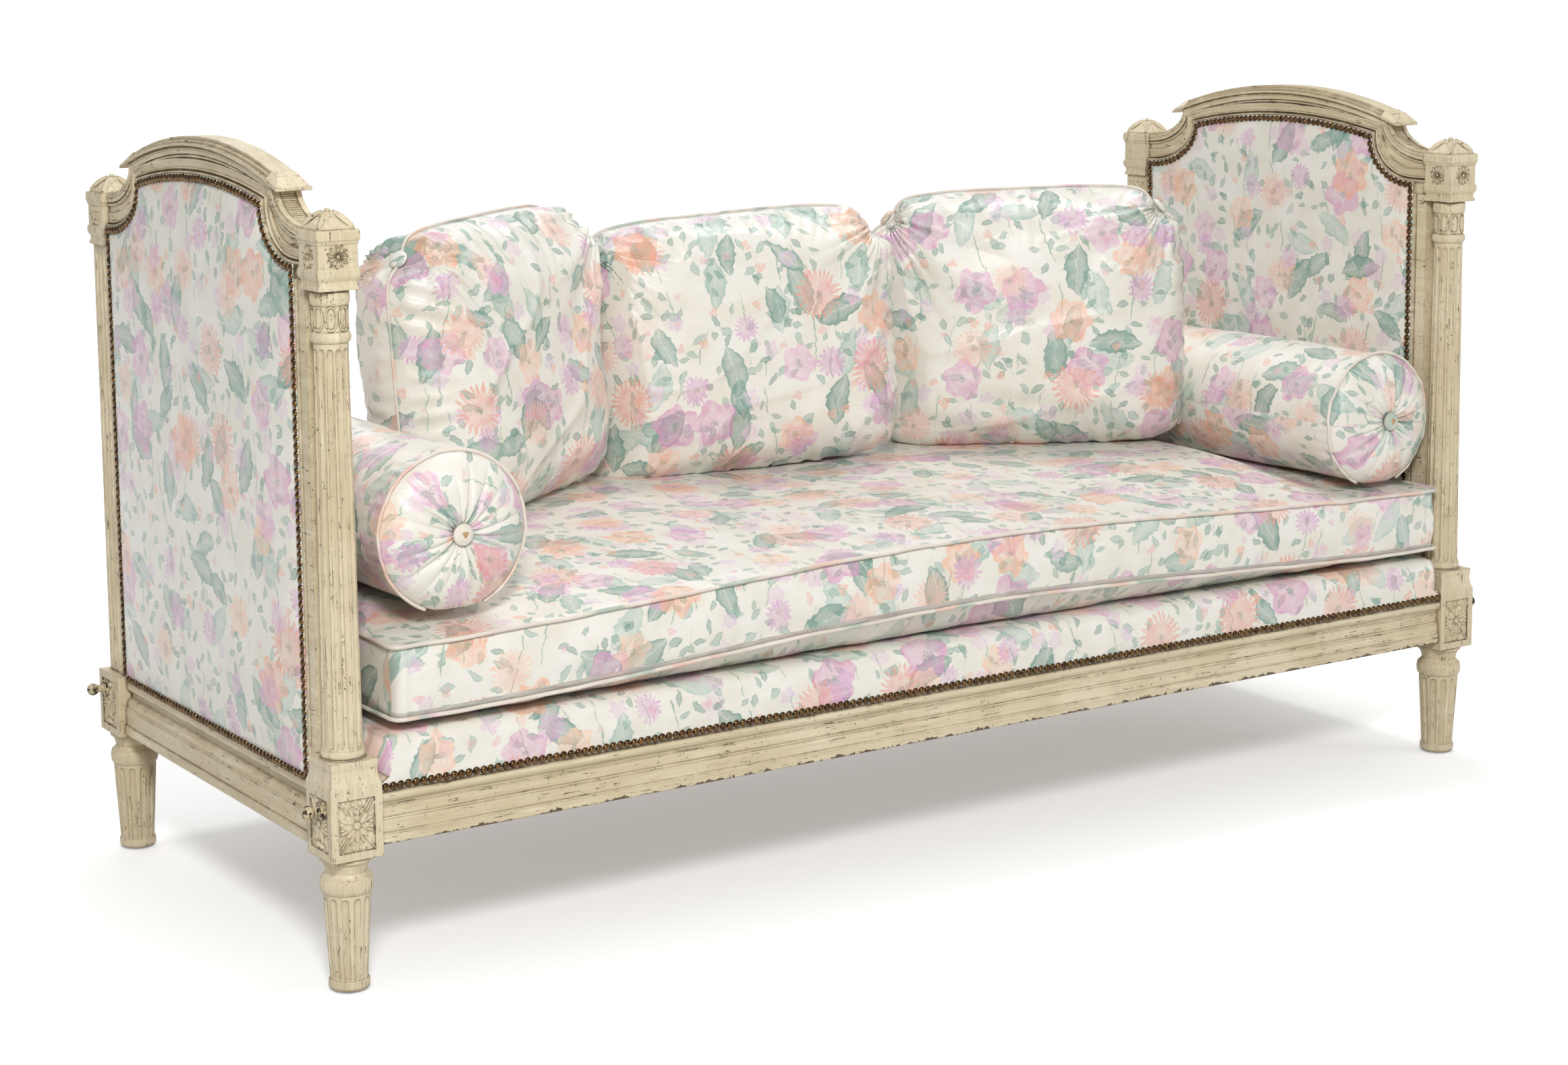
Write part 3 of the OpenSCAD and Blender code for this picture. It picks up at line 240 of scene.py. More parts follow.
def turned(finish, way, chance):
    """The x and y of a way, after a turn by chance."""
    values = {"Vector": way, "Angle": chance * 6.3}
    turned_way = finish.node("ShaderNodeVectorRotate", {"rotation_type": "Z_AXIS"}, values)
    return finish.split(turned_way)[:2]


def blossom(finish, way, chance, size, petals, slim):
    """How far out a point is in a flower, 1 at its petals' edge, and the folds between petals."""
    x, y = turned(finish, way, chance[0])
    radius = x.math("SQRT", x * x + y * y)
    around = x.math("ARCTAN2", y, x)
    fold = abs(x.math("SINE", around * (petals / 2)))
    reach = size * (0.75 + chance[1] * 0.35) * (1 - slim * fold ** 3.0)
    return radius / reach, fold


def leaf(finish, way, chance, length, width, lobes=0.0):
    """How far a point is across a pointed leaf, 1 at its edge, and how far from its rib."""
    x, y = turned(finish, way, chance[0])
    along = x / length
    half = width * (1 - along * along * 4)
    if lobes:
        half = half * (1 - lobes * abs(x.math("SINE", along * 19.0)))
    side = abs(y + along * along * (width * 0.9) - width * 0.2)
    return side / x.math("MAXIMUM", half, 0.0001), side


# spacing, shift, size, petals, how slim they are, colour, deeper colour, share of the cells, heart
FLOWERS = (
    (0.048, (5.83, 2.37, 0), 0.0085, 3, 0.35, (228, 186, 208), (238, 176, 152), 0.42, (150, 172, 150)),
    (0.07, (0.83, 1.37, 0), 0.016, 5, 0.3, (214, 194, 224), (228, 200, 218), 0.5, (222, 196, 150)),
    (0.125, (2.07, 1.91, 0), 0.039, 5, 0.22, (234, 192, 216), (214, 148, 192), 0.5, (112, 146, 124)),
    (0.135, (3.39, 0.47, 0), 0.041, 23, 0.4, (246, 206, 184), (232, 158, 140), 0.5, (120, 148, 126)),
    (0.14, (4.53, 2.23, 0), 0.038, 6, 0.22, (248, 210, 184), (242, 176, 142), 0.42, (126, 150, 120)),
    (0.11, (1.71, 3.07, 0), 0.025, 15, 0.36, (226, 188, 218), (210, 152, 200), 0.45, (198, 140, 130)),
)


def chintz():
    """Glazed cotton printed with loose washes of flowers, leaves and stems."""
    glaze = {"Specular_IOR_Level": 0.5, "Coat_Weight": 0.2, "Coat_Roughness": 0.28}
    finish = Finish("flowered_chintz", "chintz", **glaze)
    cloth = finish.node("ShaderNodeUVMap", {"uv_map": "cloth"})
    drift = finish.noise(cloth, 38.0, 3.0, 0.6, "Color")
    drift = finish.vector("SUBTRACT", drift, (0.5, 0.5, 0.5))
    drift = finish.node("ShaderNodeVectorMath", {"operation": "SCALE"}, {0: drift, "Scale": 0.02})
    brushed = finish.vector("ADD", cloth, drift)
    wash = finish.noise(cloth, 55.0, 4.0, 0.7)
    damp = finish.noise(cloth, 17.0, 2.0)

    coat = finish.mix(finish.smooth(damp, 0.3, 0.7), (238, 235, 227), (230, 226, 213))

    def lay(shape, colour, strength):
        nonlocal coat
        coat = finish.mix(shape * strength, coat, colour)

    def wet(distance, rim=0.35):
        """A wash: soft at its edge, a little deeper just inside it."""
        inside = finish.smooth(distance, 1.0, 0.94)
        return inside * (1 - rim + rim * finish.smooth(distance, 0.45, 0.95))

    def some(chance, share):
        """1 in a share of the cells of a layer, 0 in the others."""
        return finish.smooth(chance[2], 1 - share, 1 - share + 0.02)

    # stems that wander up the cloth
    x, y, _ = finish.split(brushed)
    for shift, pace, hue in ((0.0, 17.0, (136, 166, 150)), (0.061, 13.0, (160, 184, 166))):
        bend = x.math("SINE", y * pace + shift * 90) * 0.02
        strand = x.math("WRAP", x + bend + shift, 0.0, 0.118)
        line = finish.smooth(abs(strand - 0.059), 0.0014, 0.0007)
        lay(line * finish.smooth(damp, 0.47, 0.55), hue, 0.75)

    # pale leaves, then darker ones
    for spacing, shift, length, width, hue, deep, share in (
        (0.11, (0.31, 0.17, 0), 0.085, 0.02, (196, 212, 202), (160, 188, 176), 0.6),
        (0.13, (1.13, 0.71, 0), 0.09, 0.022, (134, 168, 156), (92, 136, 122), 0.5),
        (0.115, (2.83, 1.31, 0), 0.07, 0.018, (148, 178, 168), (104, 146, 134), 0.45),
    ):
        way, chance = motif_places(finish, brushed, spacing, shift)
        across, side = leaf(finish, way, chance, length, width, 0.12)
        depth = finish.smooth(wash + chance[1] * 0.3, 0.4, 0.85)
        shade = finish.mix(depth, hue, deep)
        rib = 0.6 + 0.4 * finish.smooth(side, 0.0004, 0.0018)
        lay(wet(across) * some(chance, share) * rib, shade, 0.85)

    # small leaves along the stems
    for spacing, shift, length, width, hue, share in (
        (0.03, (0.57, 0.91, 0), 0.019, 0.0048, (128, 164, 150), 0.36),
        (0.042, (2.31, 0.13, 0), 0.025, 0.0062, (146, 178, 166), 0.4),
        (0.036, (4.17, 1.77, 0), 0.022, 0.0052, (102, 146, 132), 0.3),
    ):
        way, chance = motif_places(finish, brushed, spacing, shift)
        across, _ = leaf(finish, way, chance, length, width)
        lay(wet(across) * some(chance, share), hue, 0.8)

    # flowers, each layer a size and a kind: round ones of few petals, and fringed ones
    for spacing, shift, size, petals, slim, hue, deep, share, heart in FLOWERS:
        way, chance = motif_places(finish, brushed, spacing, shift)
        out, fold = blossom(finish, way, chance, size, petals, slim)
        tint = finish.mix(finish.smooth(wash * 0.7 + chance[1] * 0.5, 0.35, 0.8), hue, deep)
        deeper = finish.smooth(out, 0.8, 0.1) * 0.5 + fold ** 6.0 * 0.6
        tint = finish.mix(deeper, tint, deep)
        shown = some(chance, share)
        lay(wet(out, 0.3) * shown * (0.6 + 0.5 * finish.smooth(wash, 0.35, 0.7)), tint, 0.74)
        specks = finish.smooth(finish.noise(cloth, 400.0, 1.0), 0.4, 0.6)
        lay(finish.smooth(out, 0.2, 0.12) * specks * shown, heart, 0.7)

    finish.set("Base Color", coat)
    finish.set("Roughness", 0.3 + wash * 0.16)
    thread = 0.0011
    warp, weft = [x.math("SINE", way * (2 * math.pi / thread)) for way in finish.split(cloth)[:2]]
    creases = finish.noise(finish.stretched(cloth, (1.0, 2.2, 1.0)), 26.0, 3.0, 0.5)
    finish.set("Normal", finish.bump(warp * weft * 0.03 + creases * 1.2, 0.0014, 0.7))
    return finish


def piping_cloth():
    """Bias strips of the same cloth: too narrow for a flower, so only its colours show."""
    finish = Finish("ivory_piping", "piping", Specular_IOR_Level=0.4)
    where = finish.place()
    clouds = finish.noise(where, 17.0, 2.0)
    coat = finish.mix(finish.smooth(clouds, 0.3, 0.7), (234, 227, 216), (222, 212, 200))
    for pace, shift, hue in (
        (13.0, 3.1, (220, 184, 200)),
        (11.0, 7.7, (160, 184, 170)),
        (12.0, 12.9, (232, 196, 176)),
    ):
        patch = finish.noise(finish.stretched(where, [pace] * 3, [shift] * 3), 1.0, 2.0)
        coat = finish.mix(finish.smooth(patch, 0.58, 0.66) * 0.7, coat, hue)
    finish.set("Base Color", coat)
    finish.set("Roughness", 0.46 + clouds * 0.1)
    finish.set("Normal", finish.bump(finish.noise(where, 900.0, 1.0), 0.0003, 0.5))
    return finish


def old_brass():
    finish = Finish("old_brass", "old_brass", Metallic=1.0)
    where = finish.place()
    clouds = finish.noise(where, 120.0, 2.0)
    coat = finish.mix(finish.smooth(clouds, 0.35, 0.7), (112, 88, 58), (64, 48, 34))
    finish.set("Base Color", coat)
    finish.set("Roughness", 0.2 + clouds * 0.2)
    return finish


def chipped_steel(name, slot, share):
    """Steel with cream paint left on it, pitted where it has gone."""
    finish = Finish(name, slot)
    where = finish.place()
    patches = finish.noise(where, 150.0, 4.0, 0.7)
    painted = finish.smooth(patches, 0.5 - share, 0.56 - share)
    metal = finish.mix(finish.noise(where, 700.0), (92, 84, 72), (48, 42, 36))
    finish.set("Base Color", finish.mix(painted, metal, (206, 192, 156)))
    finish.set("Metallic", 1 - painted)
    finish.set("Roughness", 0.38 + painted * 0.15)
    finish.set("Normal", finish.bump(painted, 0.0004, 0.6))
    return finish


def bare_beech():
    finish = Finish("bare_beech", "bare_beech")
    where = finish.place()
    grain = finish.noise(finish.stretched(where, (6.0, 60.0, 60.0)), 1.0, 5.0, 0.6)
    finish.set("Base Color", finish.mix(grain, (206, 172, 124), (164, 126, 82)))
    finish.set("Roughness", 0.6 + grain * 0.2)
    finish.set("Normal", finish.bump(grain, 0.0005, 0.5))
    return finish


def jute_web():
    finish = Finish("jute_web", "jute")
    where = finish.place()
    threads = finish.noise(finish.stretched(where, (300.0, 900.0, 900.0)), 1.0, 2.0)
    finish.set("Base Color", finish.mix(threads, (186, 158, 112), (128, 104, 68)))
    finish.set("Roughness", 0.85)
    finish.set("Normal", finish.bump(threads, 0.0006, 0.8))
    return finish


# The numbers after the brush streaks are how worn each paint is and how much dirt and painted shade
# darken its hollows.
POST_PAINT = cream_paint("cream_paint_posts", (150.0, 150.0, 9.0), 1.15)
RAIL_PAINT = cream_paint("cream_paint_long_rails", (7.0, 120.0, 150.0), soil_and_shade=0.7, bare_foot=0.1955)
END_PAINT = cream_paint("cream_paint_ends", (120.0, 8.0, 90.0), 1.0, 0.7)
CARVED_PAINT = cream_paint("cream_paint_carving", (60.0, 60.0, 60.0), 1.1, 0.8)
BLOCK_PAINT = cream_paint("cream_paint_blocks", (60.0, 60.0, 60.0), 0.9, 0.3)
CHINTZ = chintz()
PIPING = piping_cloth()
BRASS = old_brass()
BOLT_STEEL = chipped_steel("chipped_bolts", "bolt_steel", 0.04)
GLIDE_STEEL = chipped_steel("grey_glides", "glide_steel", -0.3)
BEECH = bare_beech()
JUTE = jute_web()


# ---------------------------------------------------------------- mesh helpers


def piece(name, points, faces, finish, body, replaced=(), cloth=None, angle=None):
    """A mesh object that rides on a body. cloth is the place on the cloth of each face corner."""
    mesh = bpy.data.meshes.new(name)
    mesh.from_pydata([tuple(p) for p in points], [], [tuple(f) for f in faces])
    mesh.materials.append(finish.material)
    if cloth is not None:
        layer = mesh.uv_layers.new(name="cloth")
        layer.data.foreach_set("uv", np.asarray(cloth, np.float32).ravel())
    mesh.update()
    mesh.validate()
    mesh.shade_smooth()
    if angle:
        mesh.set_sharp_from_angle(angle=math.radians(angle))
    made = bpy.data.objects.new(name, mesh)
    bpy.context.scene.collection.objects.link(made)
    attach(made, body)
    if replaced:
        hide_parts(*replaced)
    return made


def grid_faces(rows, columns, closed, offset=0):
    """Quads over rows of columns points, closed round each row or not."""
    faces = []
    for i in range(rows - 1):
        for j in range(columns if closed else columns - 1):
            k = (j + 1) % columns
            a, b = offset + i * columns, offset + (i + 1) * columns
            faces.append((a + j, a + k, b + k, b + j))
    return faces


def sheet(lines, closed=False):
    """A part from lines of points that lie side by side."""
    return np.array(lines, float).reshape(-1, 3), grid_faces(len(lines), len(lines[0]), closed)


def xyz(x, y, z):
    """Points from their coordinates, any of which may be one number for all."""
    return np.stack(np.broadcast_arrays(x, y, z), -1)


def circle(count):
    """Angles spread evenly over a full turn."""
    return 2 * math.pi * np.arange(count) / count


def lid(start, count):
    """One face over a ring of points."""
    return tuple(range(start, start + count))


def fan(start, count, tip):
    """Triangles from a ring of points to one point."""
    return [(start + j, start + (j + 1) % count, tip) for j in range(count)]


def over(face):
    return face[::-1]


def grid_cloth(places):
    """Cloth places of a grid's face corners. For a closed grid, places has one more column."""
    rows, columns = places.shape[:2]
    corners = [
        (places[i, j], places[i, j + 1], places[i + 1, j + 1], places[i + 1, j])
        for i in range(rows - 1) for j in range(columns - 1)
    ]
    return np.array(corners).reshape(-1, 2)


def tube(path, radius, sides, closed):
    """Points and faces of a tube along a path, closed into a loop or capped."""
    path = np.asarray(path, float)
    count = len(path)
    if closed:
        way = np.roll(path, -1, 0) - np.roll(path, 1, 0)
    else:
        way = np.gradient(path, axis=0)
    way /= np.linalg.norm(way, axis=1)[:, None]
    guide = np.where(abs(way[:, 2:3]) > 0.9, [[0.0, 1.0, 0.0]], [[0.0, 0.0, 1.0]])
    out = np.cross(way, guide)
    out /= np.linalg.norm(out, axis=1)[:, None]
    rise = np.cross(out, way)
    turn = circle(sides)[None, :, None]
    ring = radius * (np.cos(turn) * out[:, None] + np.sin(turn) * rise[:, None])
    points = (path[:, None] + ring).reshape(-1, 3)
    faces = grid_faces(count, sides, True)
    if closed:
        last = (count - 1) * sides
        faces += [(last + j, last + (j + 1) % sides, (j + 1) % sides, j) for j in range(sides)]
    else:
        faces += [over(lid(0, sides)), lid((count - 1) * sides, sides)]
    return points, faces


def joined(parts):
    """One list of points and one of faces from several."""
    points, faces, start = [], [], 0
    for some_points, some_faces in parts:
        points.append(np.asarray(some_points, float))
        faces += [tuple(start + i for i in face) for face in some_faces]
        start += len(some_points)
    return np.concatenate(points), faces


def assembled(name, parts, finish, body, replaced=(), angle=None):
    """A piece made of several parts."""
    points, faces = joined(parts)
    return piece(name, points, faces, finish, body, replaced, angle=angle)


def turned_over(faces, cloth):
    """The faces from their other side, and the cloth places of their corners in that order."""
    starts = np.concatenate([[0], np.cumsum([len(face) for face in faces])])
    cloth = np.asarray(cloth)
    places = [cloth[start:end][::-1] for start, end in zip(starts[:-1], starts[1:])]
    return [over(face) for face in faces], np.concatenate(places)


def lengths(line):
    """How far along a line each of its points is."""
    return np.concatenate([[0], np.cumsum(np.linalg.norm(np.diff(line, axis=0), axis=1))])


def ripple(seed, waves, low, high, *coordinates):
    """A smooth wander from -1 to 1 over some coordinates, as a sum of seeded sine waves."""
    rng = np.random.default_rng(seed)
    total = np.zeros_like(coordinates[0], dtype=float)
    for _ in range(waves):
        turn = rng.uniform(0, 2 * math.pi)
        pace = rng.uniform(low, high) * 2 * math.pi
        ways = rng.normal(size=len(coordinates))
        ways /= np.linalg.norm(ways)
        total += np.sin(sum(w * c for w, c in zip(ways, coordinates)) * pace + turn)
    return total / math.sqrt(waves) / 1.4


def smoothstep(value, low, high):
    t = np.clip((value - low) / (high - low), 0, 1)
    return t * t * (3 - 2 * t)


# ---------------------------------------------------------------- end panels

# the nail line of a panel, and the land of wood inside it on which the cloth is nailed
FRONT_LINE, BACK_LINE, NAIL_Z = 0.306, 0.3335, 0.2716
EAR_HALF, EAR_Z, SHOULDER_H, ARCH_RISE, LAND = 0.212, 1.018, 0.075, 0.021, 0.014
ARCH_R = (EAR_HALF ** 2 + ARCH_RISE ** 2) / (2 * ARCH_RISE)
ARCH_ZC = EAR_Z + ARCH_RISE - ARCH_R
NAIL_BED, CLOTH_STEP = 0.0229, 0.0055


def arc(middle_z, radius, half, steps):
    """Depth and height over the top of a circle, from half its width at the back to the front."""
    return [(y, middle_z + math.sqrt(radius ** 2 - y * y)) for y in np.linspace(half, -half, steps)]


def arch(d, steps):
    """The arch of a panel, d outside the nails."""
    return arc(ARCH_ZC, ARCH_R + d, EAR_HALF + d, steps)


def shoulder(line, d, steps=12):
    """Depth and height up a concave shoulder of a panel, d outside the nails."""
    a, b = line - EAR_HALF - d, SHOULDER_H - d
    arch_z = ARCH_ZC + math.sqrt((ARCH_R + d) ** 2 - (EAR_HALF + d) ** 2)
    start = math.asin(-d / a) if d < 0 else 0
    end = math.pi / 2 - math.asin(min(1, (EAR_Z - arch_z) / b)) if d < 0 else math.pi / 2
    points = [(line + d, EAR_Z - b * math.cos(start) - (0 if d > 0 else LAND / 2))]
    for i in range(steps + 1):
        t = start + (end - start) * i / steps
        points.append((line - a * math.sin(t), EAR_Z - b * math.cos(t)))
    return points


def panel_outline(d):
    """Outline of an end panel in depth and height, d outside its nail line."""
    foot = [(-FRONT_LINE - d, NAIL_Z - d), (BACK_LINE + d, NAIL_Z - d)]
    near = [(-y, z) for y, z in shoulder(FRONT_LINE, d)][::-1]
    return np.array(foot + shoulder(BACK_LINE, d) + arch(d, 25) + near)


def fine_outline(d):
    """The outline with its long sides cut up, the same number of points for every d."""
    pattern, line = panel_outline(0), panel_outline(d)
    points = []
    for i in range(len(line)):
        k = (i + 1) % len(line)
        parts = max(1, round(np.linalg.norm(pattern[k] - pattern[i]) / CLOTH_STEP))
        points += [line[i] + (line[k] - line[i]) * j / parts for j in range(parts)]
    return np.array(points)


def nail_places():
    """Depth and height of the nails round a panel, without the corner behind the back block."""
    line = panel_outline(0)
    closed = np.vstack([line, line[:1]])
    runs = lengths(closed)
    count = int(runs[-1] / NAIL_PITCH)
    at = runs[-1] * np.arange(count) / count
    y, z = np.interp(at, runs, closed[:, 0]), np.interp(at, runs, closed[:, 1])
    room = 0.006
    clear = (y <= POST_Y - BLOCK_HALF - room) | (z >= BLOCK_TOP + room)
    return y[clear], z[clear]


def end_panel(side, outward, name):
    """Padded panel on one face of an end: cloth drawn over a low crown, held down by the nails."""
    middle = np.array([(BACK_LINE - FRONT_LINE) / 2, (NAIL_Z + EAR_Z) / 2])
    edge = fine_outline(-0.0062)
    deep, rim, crown = 0.004, 0.023, 0.012
    inner, outer = fine_outline(-LAND), fine_outline(CLOTH_STEP)
    rings = [(inner, deep), (inner, 0.0215), (outer, 0.0222), (outer, NAIL_BED), (edge, rim)]
    shares = [0.992, 0.98, 0.965, 0.945, 0.92, 0.88, 0.82, 0.74, 0.64, 0.52, 0.4, 0.27, 0.15, 0.06]
    share = np.array([1.0] * len(rings) + shares)[:, None]
    in_crown = np.arange(len(share))[:, None] >= len(rings)
    rings += [(middle + s * (edge - middle), rim + crown * math.sqrt(1 - s ** 4)) for s in shares]
    rows, columns = len(rings), len(edge)
    flat = np.array([line for line, _ in rings])
    y, z = flat[..., 0], flat[..., 1]
    height = np.repeat(np.array([h for _, h in rings])[:, None], columns, 1)
    around = np.arange(columns) * CLOTH_STEP
    pull = np.exp(-((1 - share) / 0.03) ** 2) * in_crown
    height -= 0.0007 * pull * (0.5 + 0.5 * np.cos(math.pi * around / NAIL_PITCH)[None])
    height += 0.0012 * (1 - share ** 6) * ripple(20 + 7 * side + outward, 9, 1.2, 4.5, y, z)
    x = side * (POST_X + outward * height)
    beside_block = POST_Y - BLOCK_HALF - 0.0005
    y = np.where(z < BLOCK_TOP + 0.0005, np.minimum(y, beside_block), y)
    ends = [[side * (POST_X + outward * h), *middle] for h in (rim + crown, deep)]
    points = np.vstack([xyz(x, y, z).reshape(-1, 3), ends])
    faces = grid_faces(rows, columns, True)
    tip, root = rows * columns, rows * columns + 1
    faces += fan((rows - 1) * columns, columns, tip)
    faces += [(k, j, i) for j, k, i in fan(0, columns, root)]
    facing = side * outward
    faces = [f if facing > 0 else over(f) for f in faces]
    across = 0.37 * side + 0.9 * outward - facing * points[:, 1]
    cloth = [(across[i], points[i, 2]) for f in faces for i in f]
    made = piece(name, points, faces, CHINTZ, "frame", [name.replace("_cloth", "")], cloth)
    return made


# ---------------------------------------------------------------- nails


def nail_heads(middles, outward):
    """Domed nail heads, each a little off true, standing out along a direction."""
    rng = np.random.default_rng(len(middles))
    outward = np.asarray(outward, float)
    side = np.cross(outward, (0, 0, 1.0)) if abs(outward[2]) < 0.9 else np.array([1.0, 0, 0])
    rise = np.cross(side, outward)
    steps, around = 4, 10
    turn = circle(around)
    rings = []
    for a in np.arange(steps + 1) * math.pi / 2 / (steps + 0.35):
        r = NAIL_R * math.cos(a)
        rings.append(xyz(r * np.cos(turn), r * np.sin(turn), NAIL_PROUD * math.sin(a)))
    head = np.concatenate(rings + [[[0, 0, NAIL_PROUD]]])
    faces = grid_faces(steps + 1, around, True) + fan(steps * around, around, len(head) - 1)
    parts = []
    for middle in middles:
        tilt = rng.normal(0, 0.045, 2)
        lift = head[:, 2] + (head[:, 0] * tilt[0] + head[:, 1] * tilt[1]) * (head[:, 2] > 0.0004)
        slip = rng.normal(0, 0.00018, 2)
        parts.append((middle + (head[:, :1] + slip[0]) * side + (head[:, 1:2] + slip[1]) * rise
                      + lift[:, None] * outward, faces))
    return joined(parts)


def place_nails():
    y, z = nail_places()
    for side, word in ENDS:
        parts = []
        for outward in (-1, 1):
            middles = xyz(side * POST_X + outward * NAIL_BED, y, z)
            parts.append(nail_heads(middles, (outward, 0, 0)))
        assembled(f"nail_heads_{word}", parts, BRASS, "frame", [f"end_nails_{word}"])
    run = 2 * (POST_X - BLOCK_HALF - 0.0063)
    count = int(run / NAIL_PITCH)
    x = (np.arange(count + 1) - count / 2) * run / count
    parts = []
    for face in (FRONT, BACK):
        parts.append(nail_heads(xyz(x, face * (DECK_Y + 0.0004), NAIL_Z), (0, face, 0)))
    assembled("nail_heads_rails", parts, BRASS, "frame", ["rail_nails"])


# ---------------------------------------------------------------- deck

DECK_HALF, DECK_Y, DECK_LOW, DECK_TOP, LIP_LOW = 0.95, 0.403, 0.283, 0.339, 0.264


def deck_cloth():
    """Padding nailed to the long rails: its cloth turns over a soft edge, down under the nails."""
    edge_r, rail_mid = 0.024, 340
    side = [(DECK_Y + out, z) for out, z in (
        (0.0002, LIP_LOW + 0.002), (0.0004, NAIL_Z), (0.0004, NAIL_Z + 0.006),
        (0.001, NAIL_Z + 0.013), (0.0014, 0.296), (0.001, 0.306))]
    side += [(DECK_Y - edge_r + edge_r * math.cos(t), DECK_TOP - edge_r + edge_r * math.sin(t))
             for t in np.radians(np.linspace(0, 90, 9))]
    side += [(DECK_Y * s, DECK_TOP) for s in (0.9, 0.86, 0.8, 0.6, 0.3)]
    half = np.array(side)
    hem = DECK_Y - 0.002
    under = [[hem, DECK_LOW - 0.001], [0, DECK_LOW - 0.0005], [-hem, DECK_LOW - 0.001]]
    section = np.vstack([half * (-1, 1), [[0, DECK_TOP]], half[::-1], under])
    runs = lengths(section)
    ends = np.array([-DECK_HALF, -DECK_HALF + 0.004, -DECK_HALF + 0.012])
    middle = np.linspace(-DECK_HALF + 0.02, DECK_HALF - 0.02, rail_mid)
    xs = np.concatenate([ends, middle, -ends[::-1]])
    x = np.repeat(xs[:, None], len(section), 1)
    y, z = np.repeat(section[None, :, 0], len(xs), 0), np.repeat(section[None, :, 1], len(xs), 0)
    to_end = DECK_HALF - abs(x)
    low = smoothstep(z, NAIL_Z + 0.004, NAIL_Z + 0.012) * smoothstep(-z, -0.33, -0.305)
    low = low * (abs(y) > 0.39)
    tug = np.exp(-(z - NAIL_Z - 0.006) / 0.016) * 0.0011 * ripple(3, 7, 18, 46, x)
    soft = 0.0016 * ripple(5, 9, 2, 9, x, z * 3) + tug
    y = y + np.sign(y) * low * np.clip(soft, -0.0019, 0.0016)
    z = z - np.where(z > 0.335, 0.001 + 0.002 * smoothstep(-to_end, -0.03, 0), 0)
    flange = z < DECK_LOW - 0.003
    x = np.where(flange, np.sign(x) * np.minimum(abs(x) * 1.0129, 0.961), x)
    columns, last = len(section), (len(xs) - 1) * len(section)
    faces = grid_faces(len(xs), columns, True) + [over(lid(0, columns)), lid(last, columns)]
    faces = [over(f) for f in faces]
    flat = xyz(x, y, z).reshape(-1, 3)
    spread = np.tile(runs, len(xs))
    cloth = [(flat[i, 0] + 0.21, spread[i]) for f in faces for i in f]
    made = piece("deck_pad_cloth", flat, faces, CHINTZ, "frame", ["deck_pad"], cloth)
    return made


# ---------------------------------------------------------------- seat cushion

SEAT_X0, SEAT_Y0, SEAT_HALF, SEAT_HALF_Y = 0.009, -0.008, 0.946, 0.391
SEAM_LOW, SEAM_HIGH, SEAT_TOP, SEAT_CORNER, HAIR = 0.355, 0.452, 0.503, 0.014, 0.0003
BOLSTER_X, BOLSTER_Y, BOLSTER_SINK = (-0.828, 0.857), -0.01, (0.019, 0.033)
BOLSTER_R, BOLSTER_HALF, BUTTON_THICK = 0.106, 0.35, 0.008


def toward_middle(shares):
    """Widths over the whole seat cushion, from shares of the way in from one of its ends."""
    return np.concatenate([SEAT_HALF * (shares - 1), SEAT_HALF * (1 - shares[-2::-1])])


def ease(t):
    return np.sin(math.pi / 2 * np.clip(t, 0, 1))


def corner_in(u):
    """How far the cushion's rounded corners draw its long sides in."""
    run = np.maximum(0, SEAT_CORNER - (SEAT_HALF - abs(u)))
    return SEAT_CORNER - np.sqrt(SEAT_CORNER ** 2 - run * run)


def seam_low_z(u):
    return SEAM_LOW + 0.032 * np.cos(math.pi / 2 * u / SEAT_HALF) ** 2


def seam_high_z(u, v):
    return seam_low_z(u) + SEAM_HIGH - SEAM_LOW + 0.009 * (v + SEAT_HALF_Y) / (2 * SEAT_HALF_Y)


def seat_rest_z(u):
    side = (u >= 0).astype(int)
    middle = np.array(BOLSTER_X)[side]
    inward = np.where(u < 0, u + SEAT_X0 - middle, middle - u - SEAT_X0)
    rise = np.clip((inward - 0.057) / 0.1, 0, 1)
    return SEAT_TOP - np.array(BOLSTER_SINK)[side] * (1 + np.cos(math.pi * rise)) / 2


def seat_top_z(u, v):
    to_front, to_back = v + SEAT_HALF_Y, SEAT_HALF_Y - v
    rise = ease((SEAT_HALF - abs(u)) / 0.044) * ease(to_front / 0.36) * ease(to_back / 0.08)
    seam = seam_high_z(u, v)
    return seam + (np.maximum(seat_rest_z(u), seam) - seam) * rise


def seat_under_z(u, v):
    rise = ease((SEAT_HALF - abs(u)) / 0.06) * ease((SEAT_HALF_Y - abs(v)) / 0.06)
    seam = seam_low_z(u)
    return seam + (DECK_TOP + HAIR - seam) * rise


